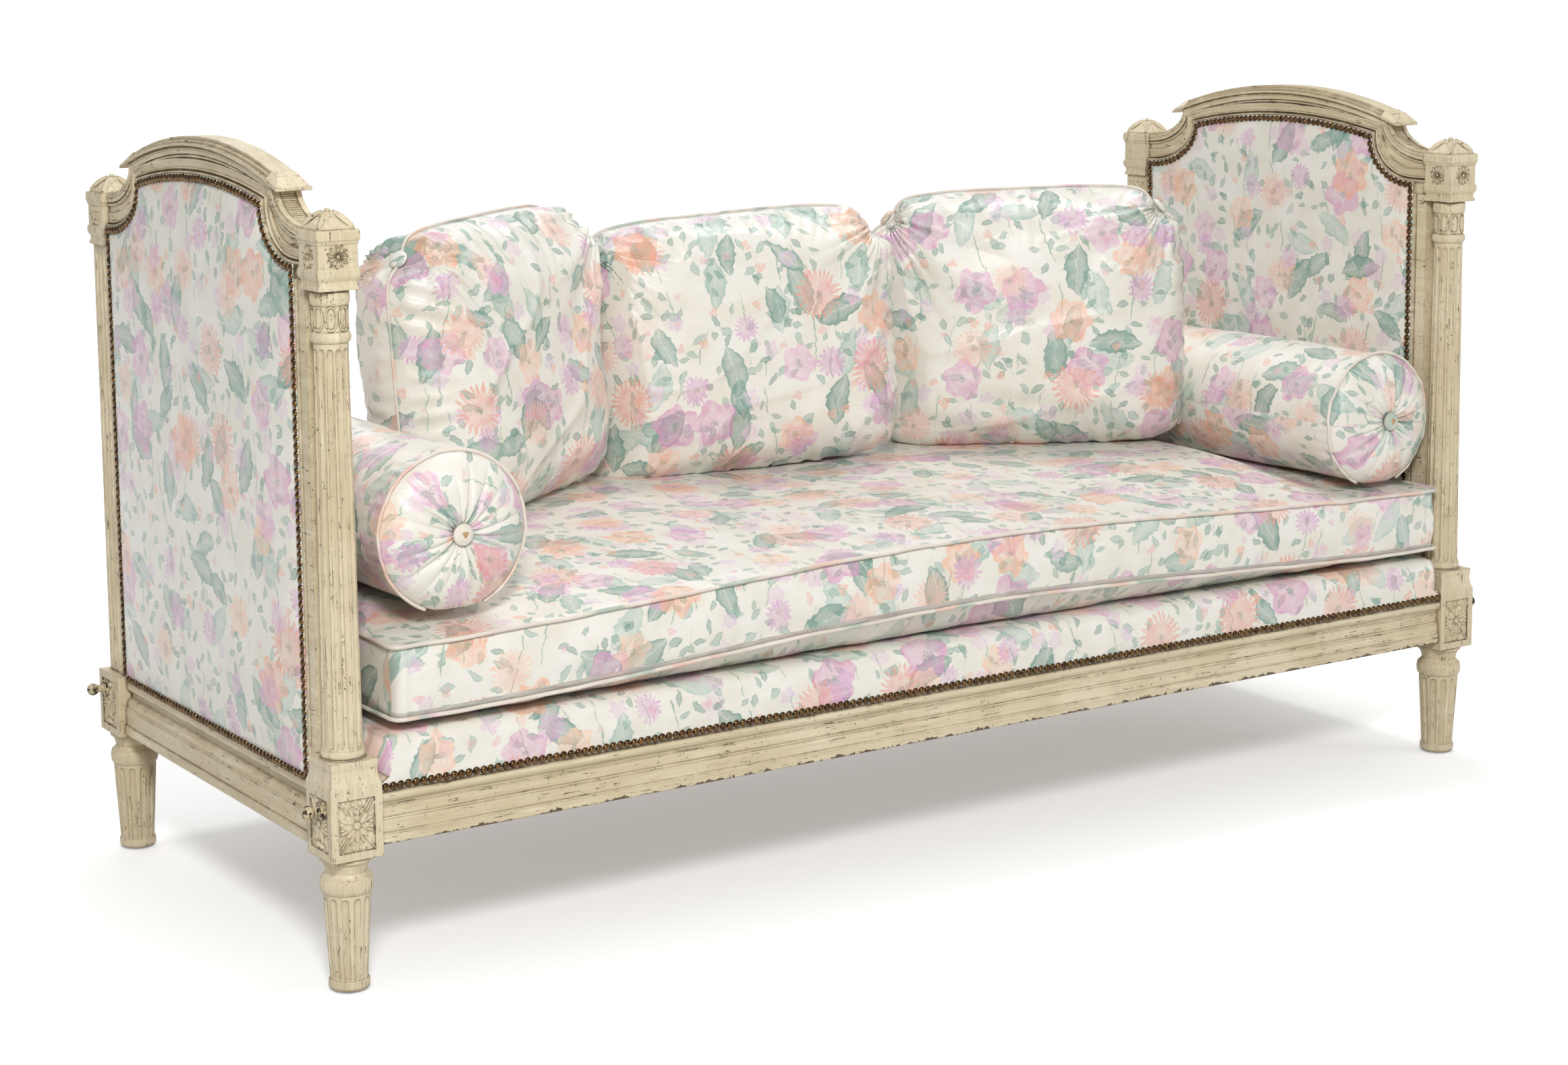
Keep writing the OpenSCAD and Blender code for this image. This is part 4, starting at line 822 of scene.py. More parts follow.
def seat_cushion():
    """Boxed cushion: crowned top, wrinkled boxing between two arched welts, belly below."""
    us = toward_middle(np.concatenate(
        [[0, 0.002, 0.005, 0.009], np.linspace(0.014, 0.05, 6), np.linspace(0.062, 1, 92)]))
    top = np.concatenate([
        np.linspace(0, 0.12, 11), np.linspace(0.14, 0.9, 44), np.linspace(0.92, 1, 9)])
    under = np.concatenate([[0, 0.008, 0.02, 0.035, 0.055, 0.08], np.linspace(0.14, 0.86, 10),
                            [0.92, 0.945, 0.965, 0.98, 0.992, 1]])
    box = np.linspace(0, 1, 11)[1:-1]
    u = us[:, None]
    row = SEAT_HALF_Y - corner_in(u)
    bulge = 0.006 * ease((SEAT_HALF - abs(u)) / SEAT_CORNER)

    def strip(v, z):
        return xyz(u + SEAT_X0, v + SEAT_Y0, z)

    v_under, v_top = (2 * under[None] - 1) * row, (2 * top[None, ::-1] - 1) * row
    belly = np.sin(math.pi * box)[None] * bulge
    puff = 1 + 0.25 * ripple(11, 8, 2, 9, np.broadcast_to(u, (len(us), len(box))), box[None] * 0.2)
    box_back = seam_low_z(u) + (seam_high_z(u, row) - seam_low_z(u)) * box[None]
    box_front = seam_low_z(u) + (seam_high_z(u, -row) - seam_low_z(u)) * box[None, ::-1]
    grid = np.concatenate([
        strip(v_under, seat_under_z(u, v_under)), strip(row + belly, box_back),
        strip(v_top, seat_top_z(u, v_top)), strip(-row - belly * puff, box_front)], 1)

    x, y, z = grid[..., 0], grid[..., 1], grid[..., 2]
    un, vn = x - SEAT_X0, y - SEAT_Y0
    columns = grid.shape[1]
    column = np.arange(columns)
    is_under, is_front = column < len(under), column >= columns - len(box)
    is_top = (column >= len(under) + len(box)) & ~is_front
    seam_gap = np.minimum(abs(z - seam_high_z(un, vn)), abs(z - seam_low_z(un)))
    edge_gap = np.minimum(SEAT_HALF_Y - abs(vn), SEAT_HALF - abs(un))
    pucker = ripple(21, 10, 16, 42, x, y * 0.6)
    top_wrinkle = (0.0024 * np.exp(-edge_gap / 0.03) * pucker * smoothstep(edge_gap, 0, 0.008)
                   + 0.0035 * ripple(23, 9, 0.9, 2.6, x, y) * smoothstep(edge_gap, 0.02, 0.12))
    z = z + is_top * top_wrinkle
    off_seam, to_corner = smoothstep(seam_gap, 0, 0.02), SEAT_HALF - abs(un)
    box_wrinkle = 0.0028 * off_seam * ripple(25, 9, 5, 14, x, z * 0.7)
    box_wrinkle += 0.003 * np.exp(-to_corner / 0.07) * off_seam * ripple(26, 8, 14, 30, x, z * 0.5)
    box_wrinkle -= 0.0035 * np.exp(-((to_corner - 0.02) / 0.0035) ** 2)
    box_wrinkle += 0.0032 * np.exp(-seam_gap / 0.026) * pucker * smoothstep(seam_gap, 0, 0.006)
    y = y - is_front * box_wrinkle
    creases = 0.003 * np.exp(-((edge_gap - 0.025) / 0.022) ** 2) * ripple(27, 9, 6, 20, x, y * 0.8)
    z = z + is_under * np.where(z > DECK_TOP + 0.004, creases, 0)
    z = np.maximum(z, DECK_TOP + HAIR)
    points = xyz(x, y, z)

    lean = np.where(is_front, 1, np.clip(-y / 0.33, -1, 1))
    cloth_y = np.where(is_under, -0.9 + y * 0.99, y + (z - 0.5) * lean)
    rows = len(us)
    flat = points.reshape(-1, 3)
    spread = np.stack([x + 1.3, cloth_y + 2.2], -1)
    faces = grid_faces(rows, columns, True)
    cloth = list(grid_cloth(np.concatenate([spread, spread[:, :1]], 1)))
    for end, out in ((0, -0.006), (rows - 1, 0.006)):
        tip = len(flat)
        flat = np.vstack([flat, [points[end].mean(0) + (out, 0, 0)]])
        for j, k, i in fan(end * columns, columns, tip):
            face = (k, j, i)[::1 if end == 0 else -1]
            faces.append(face)
            cloth += [(flat[i, 1] + 3.1, flat[i, 2] + 1.2) for i in face]
    faces, cloth = turned_over(faces, cloth)
    made = piece("seat_cushion_cloth", flat, faces, CHINTZ, "seat_cushion", ["seat_cushion"], cloth)
    return made


def welt_path(high):
    """The line of a welt round the cushion, a little uneven where the cloth gathers."""
    us = toward_middle(np.concatenate([[0, 0.003, 0.007, 0.012], np.linspace(0.02, 1, 110)]))
    row = SEAT_HALF_Y - corner_in(us)
    out = 0.0029
    front = np.stack([us * (1 + out / SEAT_HALF), -row - out], -1)
    end = np.linspace(-1, 1, 40)[1:-1] * row[0]
    right = np.stack([np.full_like(end, SEAT_HALF + out), end], -1)
    loop = np.concatenate([front, right, (front * (1, -1))[::-1], (right * (-1, -1))])
    u, v = np.clip(loop, (-SEAT_HALF, -SEAT_HALF_Y), (SEAT_HALF, SEAT_HALF_Y)).T
    z = seam_high_z(u, v) if high else seam_low_z(u)
    z = z + 0.0009 * ripple(31 + high, 8, 3, 12, loop[:, 0], loop[:, 1])
    return xyz(loop[:, 0] + SEAT_X0, loop[:, 1] + SEAT_Y0, z)


def seat_welts():
    parts = [tube(welt_path(high), 0.003, 8, True) for high in (False, True)]
    assembled("seat_welts", parts, PIPING, "seat_cushion", ["seat_piping"])


# ---------------------------------------------------------------- bolsters


def bolster_bed(side):
    return SEAT_TOP - BOLSTER_SINK[side] + HAIR


def bolster_middle(side):
    return bolster_bed(side) + BOLSTER_R - 0.004


def covered_button(middle, direction, radius, thickness):
    """A button covered in cloth, its edge turned under."""
    profile = [(0.8, 0), (1, 0.3), (0.96, 0.6), (0.75, 0.85), (0.4, 0.97), (0.12, 1)]
    around = 28
    direction = Vector(direction).normalized()
    side = direction.orthogonal().normalized()
    out, across, rise = np.array(direction), np.array(side), np.array(direction.cross(side))
    turn = circle(around)[:, None]
    spokes = radius * (np.cos(turn) * across + np.sin(turn) * rise)
    points = np.concatenate([
        np.array(middle) + t * thickness * out + r * spokes for r, t in profile])
    faces = grid_faces(len(profile), around, True)
    return points, faces + [over(lid(0, around)), lid((len(profile) - 1) * around, around)]


def bolster(side, word):
    """A round bolster: pleated ends drawn in under a button, a long seam, creases near its rims."""
    columns, pleats, button_out = 288, 21, 0.0272
    turn = circle(columns)
    # each ring of an end: how far out it stands and how wide it is, both as shares
    dome = [(0.62, 0.05), (0.74, 0.1), (0.82, 0.15), (0.92, 0.2), (0.985, 0.27), (1.0, 0.34),
            (0.99, 0.42), (0.95, 0.5), (0.885, 0.58), (0.8, 0.66), (0.69, 0.74), (0.56, 0.82),
            (0.42, 0.885), (0.27, 0.94), (0.12, 0.98), (0.03, 0.996)]
    stations = [(BOLSTER_HALF + 0.034 * o, BOLSTER_R * r, r) for o, r in dome]
    barrel = [BOLSTER_HALF, BOLSTER_HALF - 0.003, BOLSTER_HALF - 0.008]
    barrel += list(np.linspace(BOLSTER_HALF - 0.015, 0, 44))
    stations += [(y, BOLSTER_R, 1.0) for y in barrel]
    rows = [(-y, r, s) for y, r, s in stations] + stations[-2::-1]
    rng = np.random.default_rng(40 + side)
    folds = turn * pleats + 0.55 * np.sin(3 * turn + rng.uniform(0, 6)) + 0.4 * np.sin(7 * turn + 1)
    depth = 0.75 + 0.35 * np.sin(5 * turn + rng.uniform(0, 6))
    wide = np.append(turn, 2 * math.pi) * BOLSTER_R
    seam_turn = (2.36, 2.2)[side]
    points, cloth = [], []
    for y, r, share in rows:
        end = np.sign(y) if abs(y) > BOLSTER_HALF - 0.0001 else 0
        fall = 0.0085 * depth * math.sin(math.pi * min(1, share / 0.985) ** 0.75) if end else 0
        pleat = -(1 - abs(np.sin(folds / 2)) ** 0.45) * fall
        puff = 0.0016 * ripple(50 + side, 8, 2, 7, np.full_like(turn, y), BOLSTER_R * turn)
        near_rim = math.exp(-abs(abs(y) - BOLSTER_HALF) / 0.03) if not end else 0
        puff = puff + 0.0011 * near_rim * np.sin(folds * 1.7)
        radius = r + (puff * min(1, (BOLSTER_HALF - abs(y)) / 0.012) if not end else 0)
        seam = np.exp(-((turn - seam_turn) / 0.02) ** 2) * (0.0016 if not end else 0)
        radius = np.minimum(radius, BOLSTER_R + 0.0012) - seam
        x = BOLSTER_X[side] - radius * np.cos(turn)
        z = np.maximum(bolster_middle(side) + radius * np.sin(turn), bolster_bed(side))
        points.append(xyz(x, BOLSTER_Y + y + end * pleat, z))
        reach = abs(y) if not end else BOLSTER_HALF + (BOLSTER_R - r)
        along = np.full(columns + 1, np.sign(y) * reach + 0.6 + 2 * side)
        cloth.append(np.stack([along, wide + 1.7 * side], -1))
    faces = grid_faces(len(rows), columns, True)
    faces += [over(lid(0, columns)), lid((len(rows) - 1) * columns, columns)]
    corners = list(grid_cloth(np.array(cloth))) + [(0, 0)] * (2 * columns)
    faces, corners = turned_over(faces, corners)
    body = f"bolster_{word}"
    made = piece(f"{body}_cloth", np.concatenate(points), faces, CHINTZ, body, [body], corners)

    parts = []
    low = bolster_middle(side) - bolster_bed(side)
    cord_r = 0.0025
    ring_r = BOLSTER_R + 0.0027
    opening = math.acos(low / (ring_r + cord_r))
    for end in (-1, 1):
        t = np.linspace(-math.pi / 2 + opening, 1.5 * math.pi - opening, 150)
        wave = 0.0011 * np.sin(t * 9 + rng.uniform(0, 6)) + 0.0007 * np.sin(t * 23)
        path = xyz(BOLSTER_X[side] + ring_r * np.cos(t), BOLSTER_Y + end * BOLSTER_HALF + wave,
                   bolster_middle(side) + ring_r * np.sin(t))
        parts.append(tube(path, cord_r, 8, False))
        button_y = BOLSTER_Y + end * (BOLSTER_HALF + button_out)
        middle = (BOLSTER_X[side], button_y, bolster_middle(side))
        parts.append(covered_button(middle, (0, end, 0), 0.015, BUTTON_THICK))
    assembled(f"{body}_welts", parts, PIPING, body, [f"bolster_trim_{word}"])
    worn_button(side, word, BOLSTER_Y - BOLSTER_HALF - button_out - BUTTON_THICK)


def worn_button(side, word, front):
    """The wood that shows where the cover of a bolster's front button has worn through."""
    turn = circle(24)
    rings = []
    for share, proud in ((1.0, -0.0004), (0.94, 0.0003), (0.5, 0.0005)):
        ragged = share * 0.0042 * (1 + 0.22 * np.sin(3 * turn + side) + 0.1 * np.sin(7 * turn))
        rings.append(xyz(BOLSTER_X[side] + 0.0008 + ragged * np.cos(turn), front - proud,
                         bolster_middle(side) + 0.001 + ragged * np.sin(turn)))
    faces = grid_faces(3, 24, True) + [over(lid(0, 24)), lid(48, 24)]
    piece(f"bolster_{word}_worn_button", np.concatenate(rings), faces, BEECH, f"bolster_{word}")


# ---------------------------------------------------------------- pillows

# place x and y, turn in degrees, width, height, roll in degrees
PILLOWS = {
    "left": (-0.486, 0.172, 29, 0.4928, 0.449, 2),
    "centre": (0.0, 0.237, -11, 0.56, 0.42, 3),
    "right": (0.54, 0.148, -35, 0.5298, 0.436, 2),
}
# upright planes between the bolsters and the pillows: a point and the turn of each
PILLOW_PLANES = [((-0.7205, 0), 0), ((-0.268, 0.28), 26), ((0.3, 0.255), 17), ((0.7492, 0), 0)]
PILLOW_T, SQUARENESS, PILLOW_ROOM, PILLOW_LEAN, PILLOW_SINK = 0.228, 4.7, 0.0051, 3, 0.008


def beside(points, plane, way, room):
    """Points held on one side of an upright plane."""
    (px, py), angle = plane
    across = np.array([math.cos(math.radians(angle)), math.sin(math.radians(angle)), 0])
    past = way * ((points[..., 0] - px) * across[0] + (points[..., 1] - py) * across[1]) + room
    return points - np.maximum(past, 0)[..., None] * way * across


def pillow_points(word, u, v, w, room, lower=0.0):
    """Points at width u, height v and thickness w of a pillow, leant, turned and set in place."""
    x, y, turn, width, height, roll = PILLOWS[word]
    order = list(PILLOWS).index(word)
    turn, roll, lean = np.radians((turn, roll, PILLOW_LEAN))
    ur, vr = u * math.cos(roll) - v * math.sin(roll), u * math.sin(roll) + v * math.cos(roll)
    base = SEAT_TOP + room
    z = base + height / 2 - PILLOW_SINK + vr * math.cos(lean) + w * math.sin(lean)
    depth = -w * math.cos(lean) + vr * math.sin(lean)
    free = xyz(x + ur * math.cos(turn) - depth * math.sin(turn),
               y + ur * math.sin(turn) + depth * math.cos(turn), np.maximum(base, z))
    held = beside(beside(free, PILLOW_PLANES[order], -1, room), PILLOW_PLANES[order + 1], 1, room)
    held[..., 2] = np.maximum(SEAT_TOP + HAIR, held[..., 2] - lower)
    return held


def pillow_edge(word, angle, out=0.0):
    """The seam line of a pillow in its own plane."""
    _, _, _, width, height, _ = PILLOWS[word]
    c, s = np.cos(angle), np.sin(angle)
    power = 2 / (SQUARENESS + 2.6 * smoothstep(-s, 0, 0.6))
    half_w, half_h = width / 2 + out, height / 2 + out
    return half_w * np.sign(c) * abs(c) ** power, half_h * np.sign(s) * abs(s) ** power


def corner_angle(word):
    _, _, _, width, height, _ = PILLOWS[word]
    return math.atan((height / width) ** (1 / (2 - 2 / SQUARENESS)))


def pillow_columns(word, count):
    """Places round a pillow's seam, closer near its gathered corners, and those corners."""
    fine = np.linspace(0, 2 * math.pi, 8001)
    u, v = pillow_edge(word, fine)
    step = np.append(0, np.hypot(np.diff(u), np.diff(v)))
    corner = corner_angle(word)
    tips = [pillow_edge(word, np.array([a])) for a in (corner, math.pi - corner)]
    crowd = 1 + sum(3.4 * np.exp(-(np.hypot(u - tu, v - tv) / 0.09) ** 2) for tu, tv in tips)
    run = np.cumsum(step * crowd)
    angle = np.interp((np.arange(count) + 0.5) / count * run[-1], run, fine)
    return angle, np.interp(angle, fine, np.cumsum(step)), tips


def drawn_in(u, v, tips):
    """The corners pulled in under their buttons, with the cloth puffed out beside them."""
    for tu, tv in tips:
        far, length = np.hypot(u - tu, v - tv), math.hypot(float(tu[0]), float(tv[0]))
        pull = 0.003 * np.exp(-((far - 0.05) / 0.025) ** 2) - 0.013 * np.exp(-(far / 0.026) ** 2)
        u, v = u + pull * tu / length, v + pull * tv / length
    return u, v


def pillow_folds(u, v, s, face, seam_run, to_seam, tips, seed):
    """How far the cloth stands out of its plain form: gathered tips, puckers, slack creases."""
    folds = np.zeros_like(u)
    for k, (tu, tv) in enumerate(tips):
        far, way = np.hypot(u - tu, v - tv), np.arctan2(v - tv, u - tu)
        phase = way * 15 + 1.2 * np.sin(way * 4 + face + seed) + 1.7 * k
        ridge = 2 * abs(np.sin(phase)) ** 0.75 - 1.15
        length = 0.026 + 0.045 * (0.5 + 0.5 * np.sin(way * 9 + 2 * k + seed)) ** 2
        folds += 0.0125 * ridge * np.exp(-far / length) * smoothstep(far, 0.003, 0.018)
        fanned = np.cos(way * 8 + seed + 2 * face + k)
        folds += 0.0065 * fanned * np.exp(-((far - 0.12) / 0.07) ** 2)
        folds += 0.006 * np.exp(-((far - 0.042) / 0.024) ** 2)
    along = ripple(60 + 3 * seed + face, 9, 14, 40, seam_run)
    folds += 0.0045 * np.exp(-to_seam / 0.034) * np.sign(along) * abs(along) ** 0.8
    folds += 0.006 * ripple(80 + 3 * seed + face, 9, 1.6, 4.5, u, v * 0.8) * (1 - s ** 8)
    creases = 1 - abs(ripple(110 + 3 * seed + face, 5, 3.5, 7, u * 0.55, v))
    folds += 0.006 * creases ** 5 * (1 - s ** 12)
    slack = smoothstep(-v, 0.04, 0.17) * ripple(100 + 3 * seed + face, 7, 6, 13, u * 0.5, v * 1.6)
    return folds + 0.0055 * slack * (1 - s ** 12)


def pillow(word, seed):
    """A knife-edge pillow: gathered top corners, a puckered seam, slack near its foot."""
    columns, half_t = 420, PILLOW_T / 2
    angle, seam_run, tips = pillow_columns(word, columns)
    shares = np.concatenate([[0.012, 0.05, 0.1], np.linspace(0.15, 0.76, 30),
                             np.linspace(0.772, 0.975, 24), [0.981, 0.987, 0.992, 0.996]])
    origin = np.array((0.7 * seed, 0.45 * seed))
    edge_u, edge_v = pillow_edge(word, angle)
    reach = np.hypot(edge_u, edge_v)
    sides, prints = {}, {}
    for face in (-1, 1):
        s = np.append(shares, 1.0)[:, None]
        u, v = s * edge_u, s * edge_v
        drawn_u, drawn_v = drawn_in(u, v, tips)
        fullness = np.sqrt(np.clip(1 - s ** 4, 0, 1))
        bulge = half_t * fullness + 0 * u
        inward, up = np.diff(s, axis=0, prepend=0) * reach, np.diff(bulge, axis=0, prepend=half_t)
        steps = np.hypot(inward, up)
        spread = np.cumsum(steps, axis=0) / reach
        far_in = (1 - s) * reach
        folds = pillow_folds(u, v, s, face, np.broadcast_to(seam_run, u.shape), far_in, tips, seed)
        folds = folds * smoothstep(1 - s, 0, 0.016)
        slope = PILLOW_T * s ** 3 / (reach * fullness + 0.015)
        upright = 1 / np.sqrt(1 + slope ** 2)
        outward = 0.7 * folds * upright * slope / reach
        drawn_u, drawn_v = drawn_u + outward * edge_u, drawn_v + outward * edge_v
        w = face * (bulge + folds * upright)
        sides[face] = pillow_points(word, drawn_u, drawn_v, w, PILLOW_ROOM, PILLOW_ROOM)
        place = np.stack([spread * edge_u * face, spread * edge_v], -1) + origin + (3 * face, 0)
        prints[face] = np.concatenate([place, place[:, :1]], 1)
    rows = 2 * len(shares) + 1
    points = np.concatenate([sides[-1], sides[1][:-1][::-1]]).reshape(-1, 3)
    zero, both = np.zeros(2), np.array((-half_t, half_t))
    flat = np.vstack([points, pillow_points(word, zero, zero, both, PILLOW_ROOM, PILLOW_ROOM)])
    faces = grid_faces(rows, columns, True)
    corners = list(grid_cloth(prints[-1])) + list(grid_cloth(prints[1][::-1]))
    last = (rows - 1) * columns
    for j in range(columns):
        k = (j + 1) % columns
        for ring, order, tip, face in ((0, (k, j), 0, -1), (last, (j, k), 1, 1)):
            faces.append((ring + order[0], ring + order[1], rows * columns + tip))
            first, second = (j + 1, j) if face < 0 else (j, j + 1)
            corners += [prints[face][0, first], prints[face][0, second], origin + (3 * face, 0)]
    body = f"pillow_{word}"
    made = piece(f"{body}_cloth", flat, faces, CHINTZ, body, [body], np.array(corners))
    pillow_trim(word, seed, tips)


def pillow_trim(word, seed, tips):
    """The welt of a pillow, and the covered button on each of its top corners."""
    body, corner, room = f"pillow_{word}", corner_angle(word), 0.00255
    around = np.radians(np.linspace(-38, 218, 420))
    edge = drawn_in(*pillow_edge(word, around, room), tips)
    wander = 0.0012 * ripple(90 + seed, 8, 3, 9, around * 0.25)
    path = pillow_points(word, edge[0], edge[1], wander, room, room)
    buttons = []
    for way in (1, -1):
        at = np.array([math.pi / 2 - (math.pi / 2 - corner) * way])
        tip = pillow_edge(word, at, -0.0068)
        middle = pillow_points(word, tip[0], tip[1], np.zeros(1), room, room)[0]
        inner = pillow_points(word, tip[0] * 0.8, tip[1] * 0.8, np.zeros(1), room, room)[0]
        buttons.append(covered_button(middle, middle - inner, 0.0145, 0.0095))
    points, faces = tube(path, 0.00225, 8, False)
    piece(f"{body}_welt", points, faces, PIPING, body, [f"pillow_trim_{word}"])
    points, faces = joined(buttons)
    cloth = [(points[i, 0] + 0.31 * seed, points[i, 2] + points[i, 1]) for f in faces for i in f]
    piece(f"{body}_buttons", points, faces, CHINTZ, body, (), cloth)


# ---------------------------------------------------------------- carving


def petal(length, width, height, dish=0.25, start=0.0, tip=1.6):
    """A carved petal along +x from start, its edges raised round a hollow or a rib, flat behind."""
    along, across = 9, 7
    points = []
    for t in np.linspace(0, 1, along):
        half = width / 2 * math.sin(math.pi * min(1, 0.1 + 0.9 * t) ** tip) ** 0.75
        swell = math.sin(math.pi * (0.12 + 0.8 * t)) ** 0.6
        for s in np.linspace(-1, 1, across):
            crown = (1 - s ** 4) * (1 - dish * (1 - abs(s)) * 2) * swell
            points.append((start + length * t, half * s, height * crown))
    return np.array(points), grid_faces(along, across, False)


def boss(radius, height):
    """A round button of wood with a dimple."""
    around = 16
    turn = circle(around)
    rings = [(1, 0), (0.98, 0.4), (0.85, 0.72), (0.6, 0.93), (0.3, 1.0), (0.22, 0.9)]
    lines = [
        xyz(r * radius * np.cos(turn), r * radius * np.sin(turn), h * height) for r, h in rings]
    points, faces = sheet(lines, True)
    return points, faces + [lid((len(rings) - 1) * around, around)]


def bar(p0, p1, radius, height):
    """A low rounded rib between two points of a carved face."""
    p0, p1 = np.array(p0, float), np.array(p1, float)
    way = (p1 - p0) / np.linalg.norm(p1 - p0)
    side = np.array([-way[1], way[0]])
    points = []
    for t, share in ((-0.02, 0.3), (0.03, 0.85), (0.5, 1), (0.97, 0.85), (1.02, 0.3)):
        middle = p0 + (p1 - p0) * t
        for s in (-1, -0.6, 0, 0.6, 1):
            at = middle + side * radius * s * share
            points.append((at[0], at[1], height * (1 - s * s) ** 0.5 * share))
    return np.array(points), grid_faces(5, 5, False)


def spun(part, angle, lift=0.0):
    """A part turned about the height of its face, and lifted off it."""
    points, faces = part
    c, s = math.cos(angle), math.sin(angle)
    return points @ np.array([[c, s, 0], [-s, c, 0], [0, 0, 1]]) + (0, 0, lift), faces


def leaf_square(width, height):
    """Square flower of a corner block: a boss, eight petals, and ribs out to its corners."""
    parts = [boss(0.0058, 0.0034)]
    for k in range(8):
        long = 0.0195 if k % 2 == 0 else 0.0175
        parts.append(spun(petal(long, 0.0105, 0.0031, 0.3, 0.0035), k * math.pi / 4, 0.0002))
    for k in range(8):
        parts.append(spun(petal(0.024, 0.006, 0.0022, -0.3, 0.003), (k + 0.5) * math.pi / 4))
    for sx in (-1, 1):
        for sy in (-1, 1):
            corner = (sx * width * 0.47, sy * height * 0.47)
            for off in (-0.0035, 0, 0.0035):
                foot = (sx * 0.0125 + off * 0.7, sy * 0.0155 - off * 0.7)
                head = (corner[0] + off * 0.9, corner[1] - off * 0.9)
                parts.append(bar(foot, head, 0.0014, 0.0022))
    for k, reach in ((0, width / 2), (1, height / 2), (2, width / 2), (3, height / 2)):
        for off in (-0.3, 0.3):
            bud = petal(0.009, 0.0055, 0.0024, -0.2, reach - 0.0105)
            parts.append(spun(bud, k * math.pi / 2 + off * 0.55))
    return joined(parts)


def daisy(radius, count):
    """Flower of a front capital: grooved, pointed petals round a small sunk heart."""
    parts = [boss(radius * 0.17, 0.0026)]
    for k in range(count):
        long = radius * (0.9 if k % 3 else 0.82)
        one = petal(long, radius * 0.5, 0.0044, 0.45, radius * 0.12, 1.3)
        parts.append(spun(one, 2 * math.pi * k / count))
    return joined(parts)


def sunburst(width, height):
    """Tall carved panel of a back capital: an oval boss, rays, and ribs to the corners."""
    points, faces = boss(0.0052, 0.0036)
    parts = [(points * (1, 1.35, 1), faces)]
    for k in range(8):
        angle = k * math.pi / 4
        reach = 0.5 / max(abs(math.cos(angle)) / width, abs(math.sin(angle)) / height)
        parts.append(spun(petal(reach - 0.006, 0.0085, 0.003, 0.2, 0.0045), angle))
    for k in range(8):
        angle = (k + 0.5) * math.pi / 4
        parts.append(spun(petal(min(width, height) * 0.36, 0.0042, 0.0022, -0.3, 0.0045), angle))
    return joined(parts)


def onto(part, middle, normal, up=(0, 0, 1)):
    """A carving laid on a face: its x across, its y up, its z out of the wood."""
    points, faces = part
    normal, up = np.array(normal, float), np.array(up, float)
    across = np.cross(up, normal)
    return np.array(middle) + points @ np.array([across, up, normal]), faces


def each_post():
    """The four posts: the ways out of the daybed in x and y, and the end of a piece's name."""
    return [(sx, fy, f"{row}_{word}") for fy, row in ROWS for sx, word in ENDS]


def on_post_faces(carving, sx, fy, out, height):
    """A carving on the two faces of a post that look out of the daybed."""
    return [onto(carving, (sx * POST_X, fy * (POST_Y + out), height), (0, fy, 0)),
            onto(carving, (sx * (POST_X + out), fy * POST_Y, height), (sx, 0, 0))]


def carve_blocks():
    """Flowers in the sunk panels of the corner blocks, left out where a bed bolt's washer sits."""
    flower = leaf_square(0.052, 0.07)
    panel_out, middle = 0.035, (LEG_TOP + BLOCK_TOP) / 2
    bolt_y, bolt_z, washer_r = 0.3815, 0.249, 0.0128
    for sx, fy, word in each_post():
        points, faces = joined(on_post_faces(flower, sx, fy, panel_out, middle))
        x, y, z = abs(points).T
        washer = (x > 1.03) & (y < POST_Y + 0.0365) & (np.hypot(y - bolt_y, z - bolt_z) < washer_r)
        faces = [f for f in faces if not any(washer[i] for i in f)]
        piece(f"block_carving_{word}", points, faces, BLOCK_PAINT, "frame", angle=50)


def carve_capitals():
    """A flower on each die: daisies in front, also on the inner face, and rays at the back."""
    out = CAPITAL_W / 2 - 1.7 * CAPITAL_W / 40 - 0.0004
    middle = CAPITAL_Z + 0.56 * (CAPITAL_TOP - CAPITAL_Z)
    for sx, fy, word in each_post():
        flower = daisy(0.0158, 11) if fy == FRONT else sunburst(0.034, 0.028)
        parts = on_post_faces(flower, sx, fy, out, middle)
        if fy == FRONT:
            parts.append(onto(flower, (sx * (POST_X - out), fy * POST_Y, middle), (-sx, 0, 0)))
        assembled(f"capital_carving_{word}", parts, CARVED_PAINT, "frame", angle=50)


def climbing_leaf(angle, foot, head, width, dish, tip):
    """A leaf up the slope of a pyramid. foot and head are distances out and up."""
    outward = np.array([math.cos(angle), math.sin(angle), 0])
    side = np.array([-math.sin(angle), math.cos(angle), 0])
    start, end = [outward * out + (0, 0, up) for out, up in (foot, head)]
    length = np.linalg.norm(end - start)
    way = (end - start) / length
    off = np.cross(way, side)
    off *= np.sign(off[2])
    points, faces = petal(length, width, 0.0032, dish, 0, tip)
    return start + points @ np.array([way, side, off]), faces


def carve_finials():
    """Leaves that climb the corners of each pyramid, a rounded shield on each side between them."""
    half = CAPITAL_W / 2 - CAPITAL_W / 14
    for sx, fy, word in each_post():
        parts = []
        for quarter in np.arange(4) * math.pi / 2:
            parts.append(climbing_leaf(
                quarter + math.pi / 4, (half * 1.3, 0.0012), (0.006, 0.0215), 0.0085, -0.5, 0.9))
            parts.append(climbing_leaf(
                quarter, (half * 0.93, 0.0022), (half * 0.4, 0.0165), 0.016, 0.45, 0.85))
        top = (sx * POST_X, fy * POST_Y, CAPITAL_TOP)
        parts = [(points + top, faces) for points, faces in parts]
        assembled(f"finial_carving_{word}", parts, CARVED_PAINT, "frame", angle=60)


# ---------------------------------------------------------------- crests and mouldings

CREST_END, CREST_END_Z, CREST_EAR_HALF, CREST_EAR_Z, CREST_TOP = 0.3395, 0.995, 0.248, 1.046, 1.083
CREST_R = (CREST_EAR_HALF ** 2 + (CREST_TOP - CREST_EAR_Z) ** 2) / (2 * (CREST_TOP - CREST_EAR_Z))


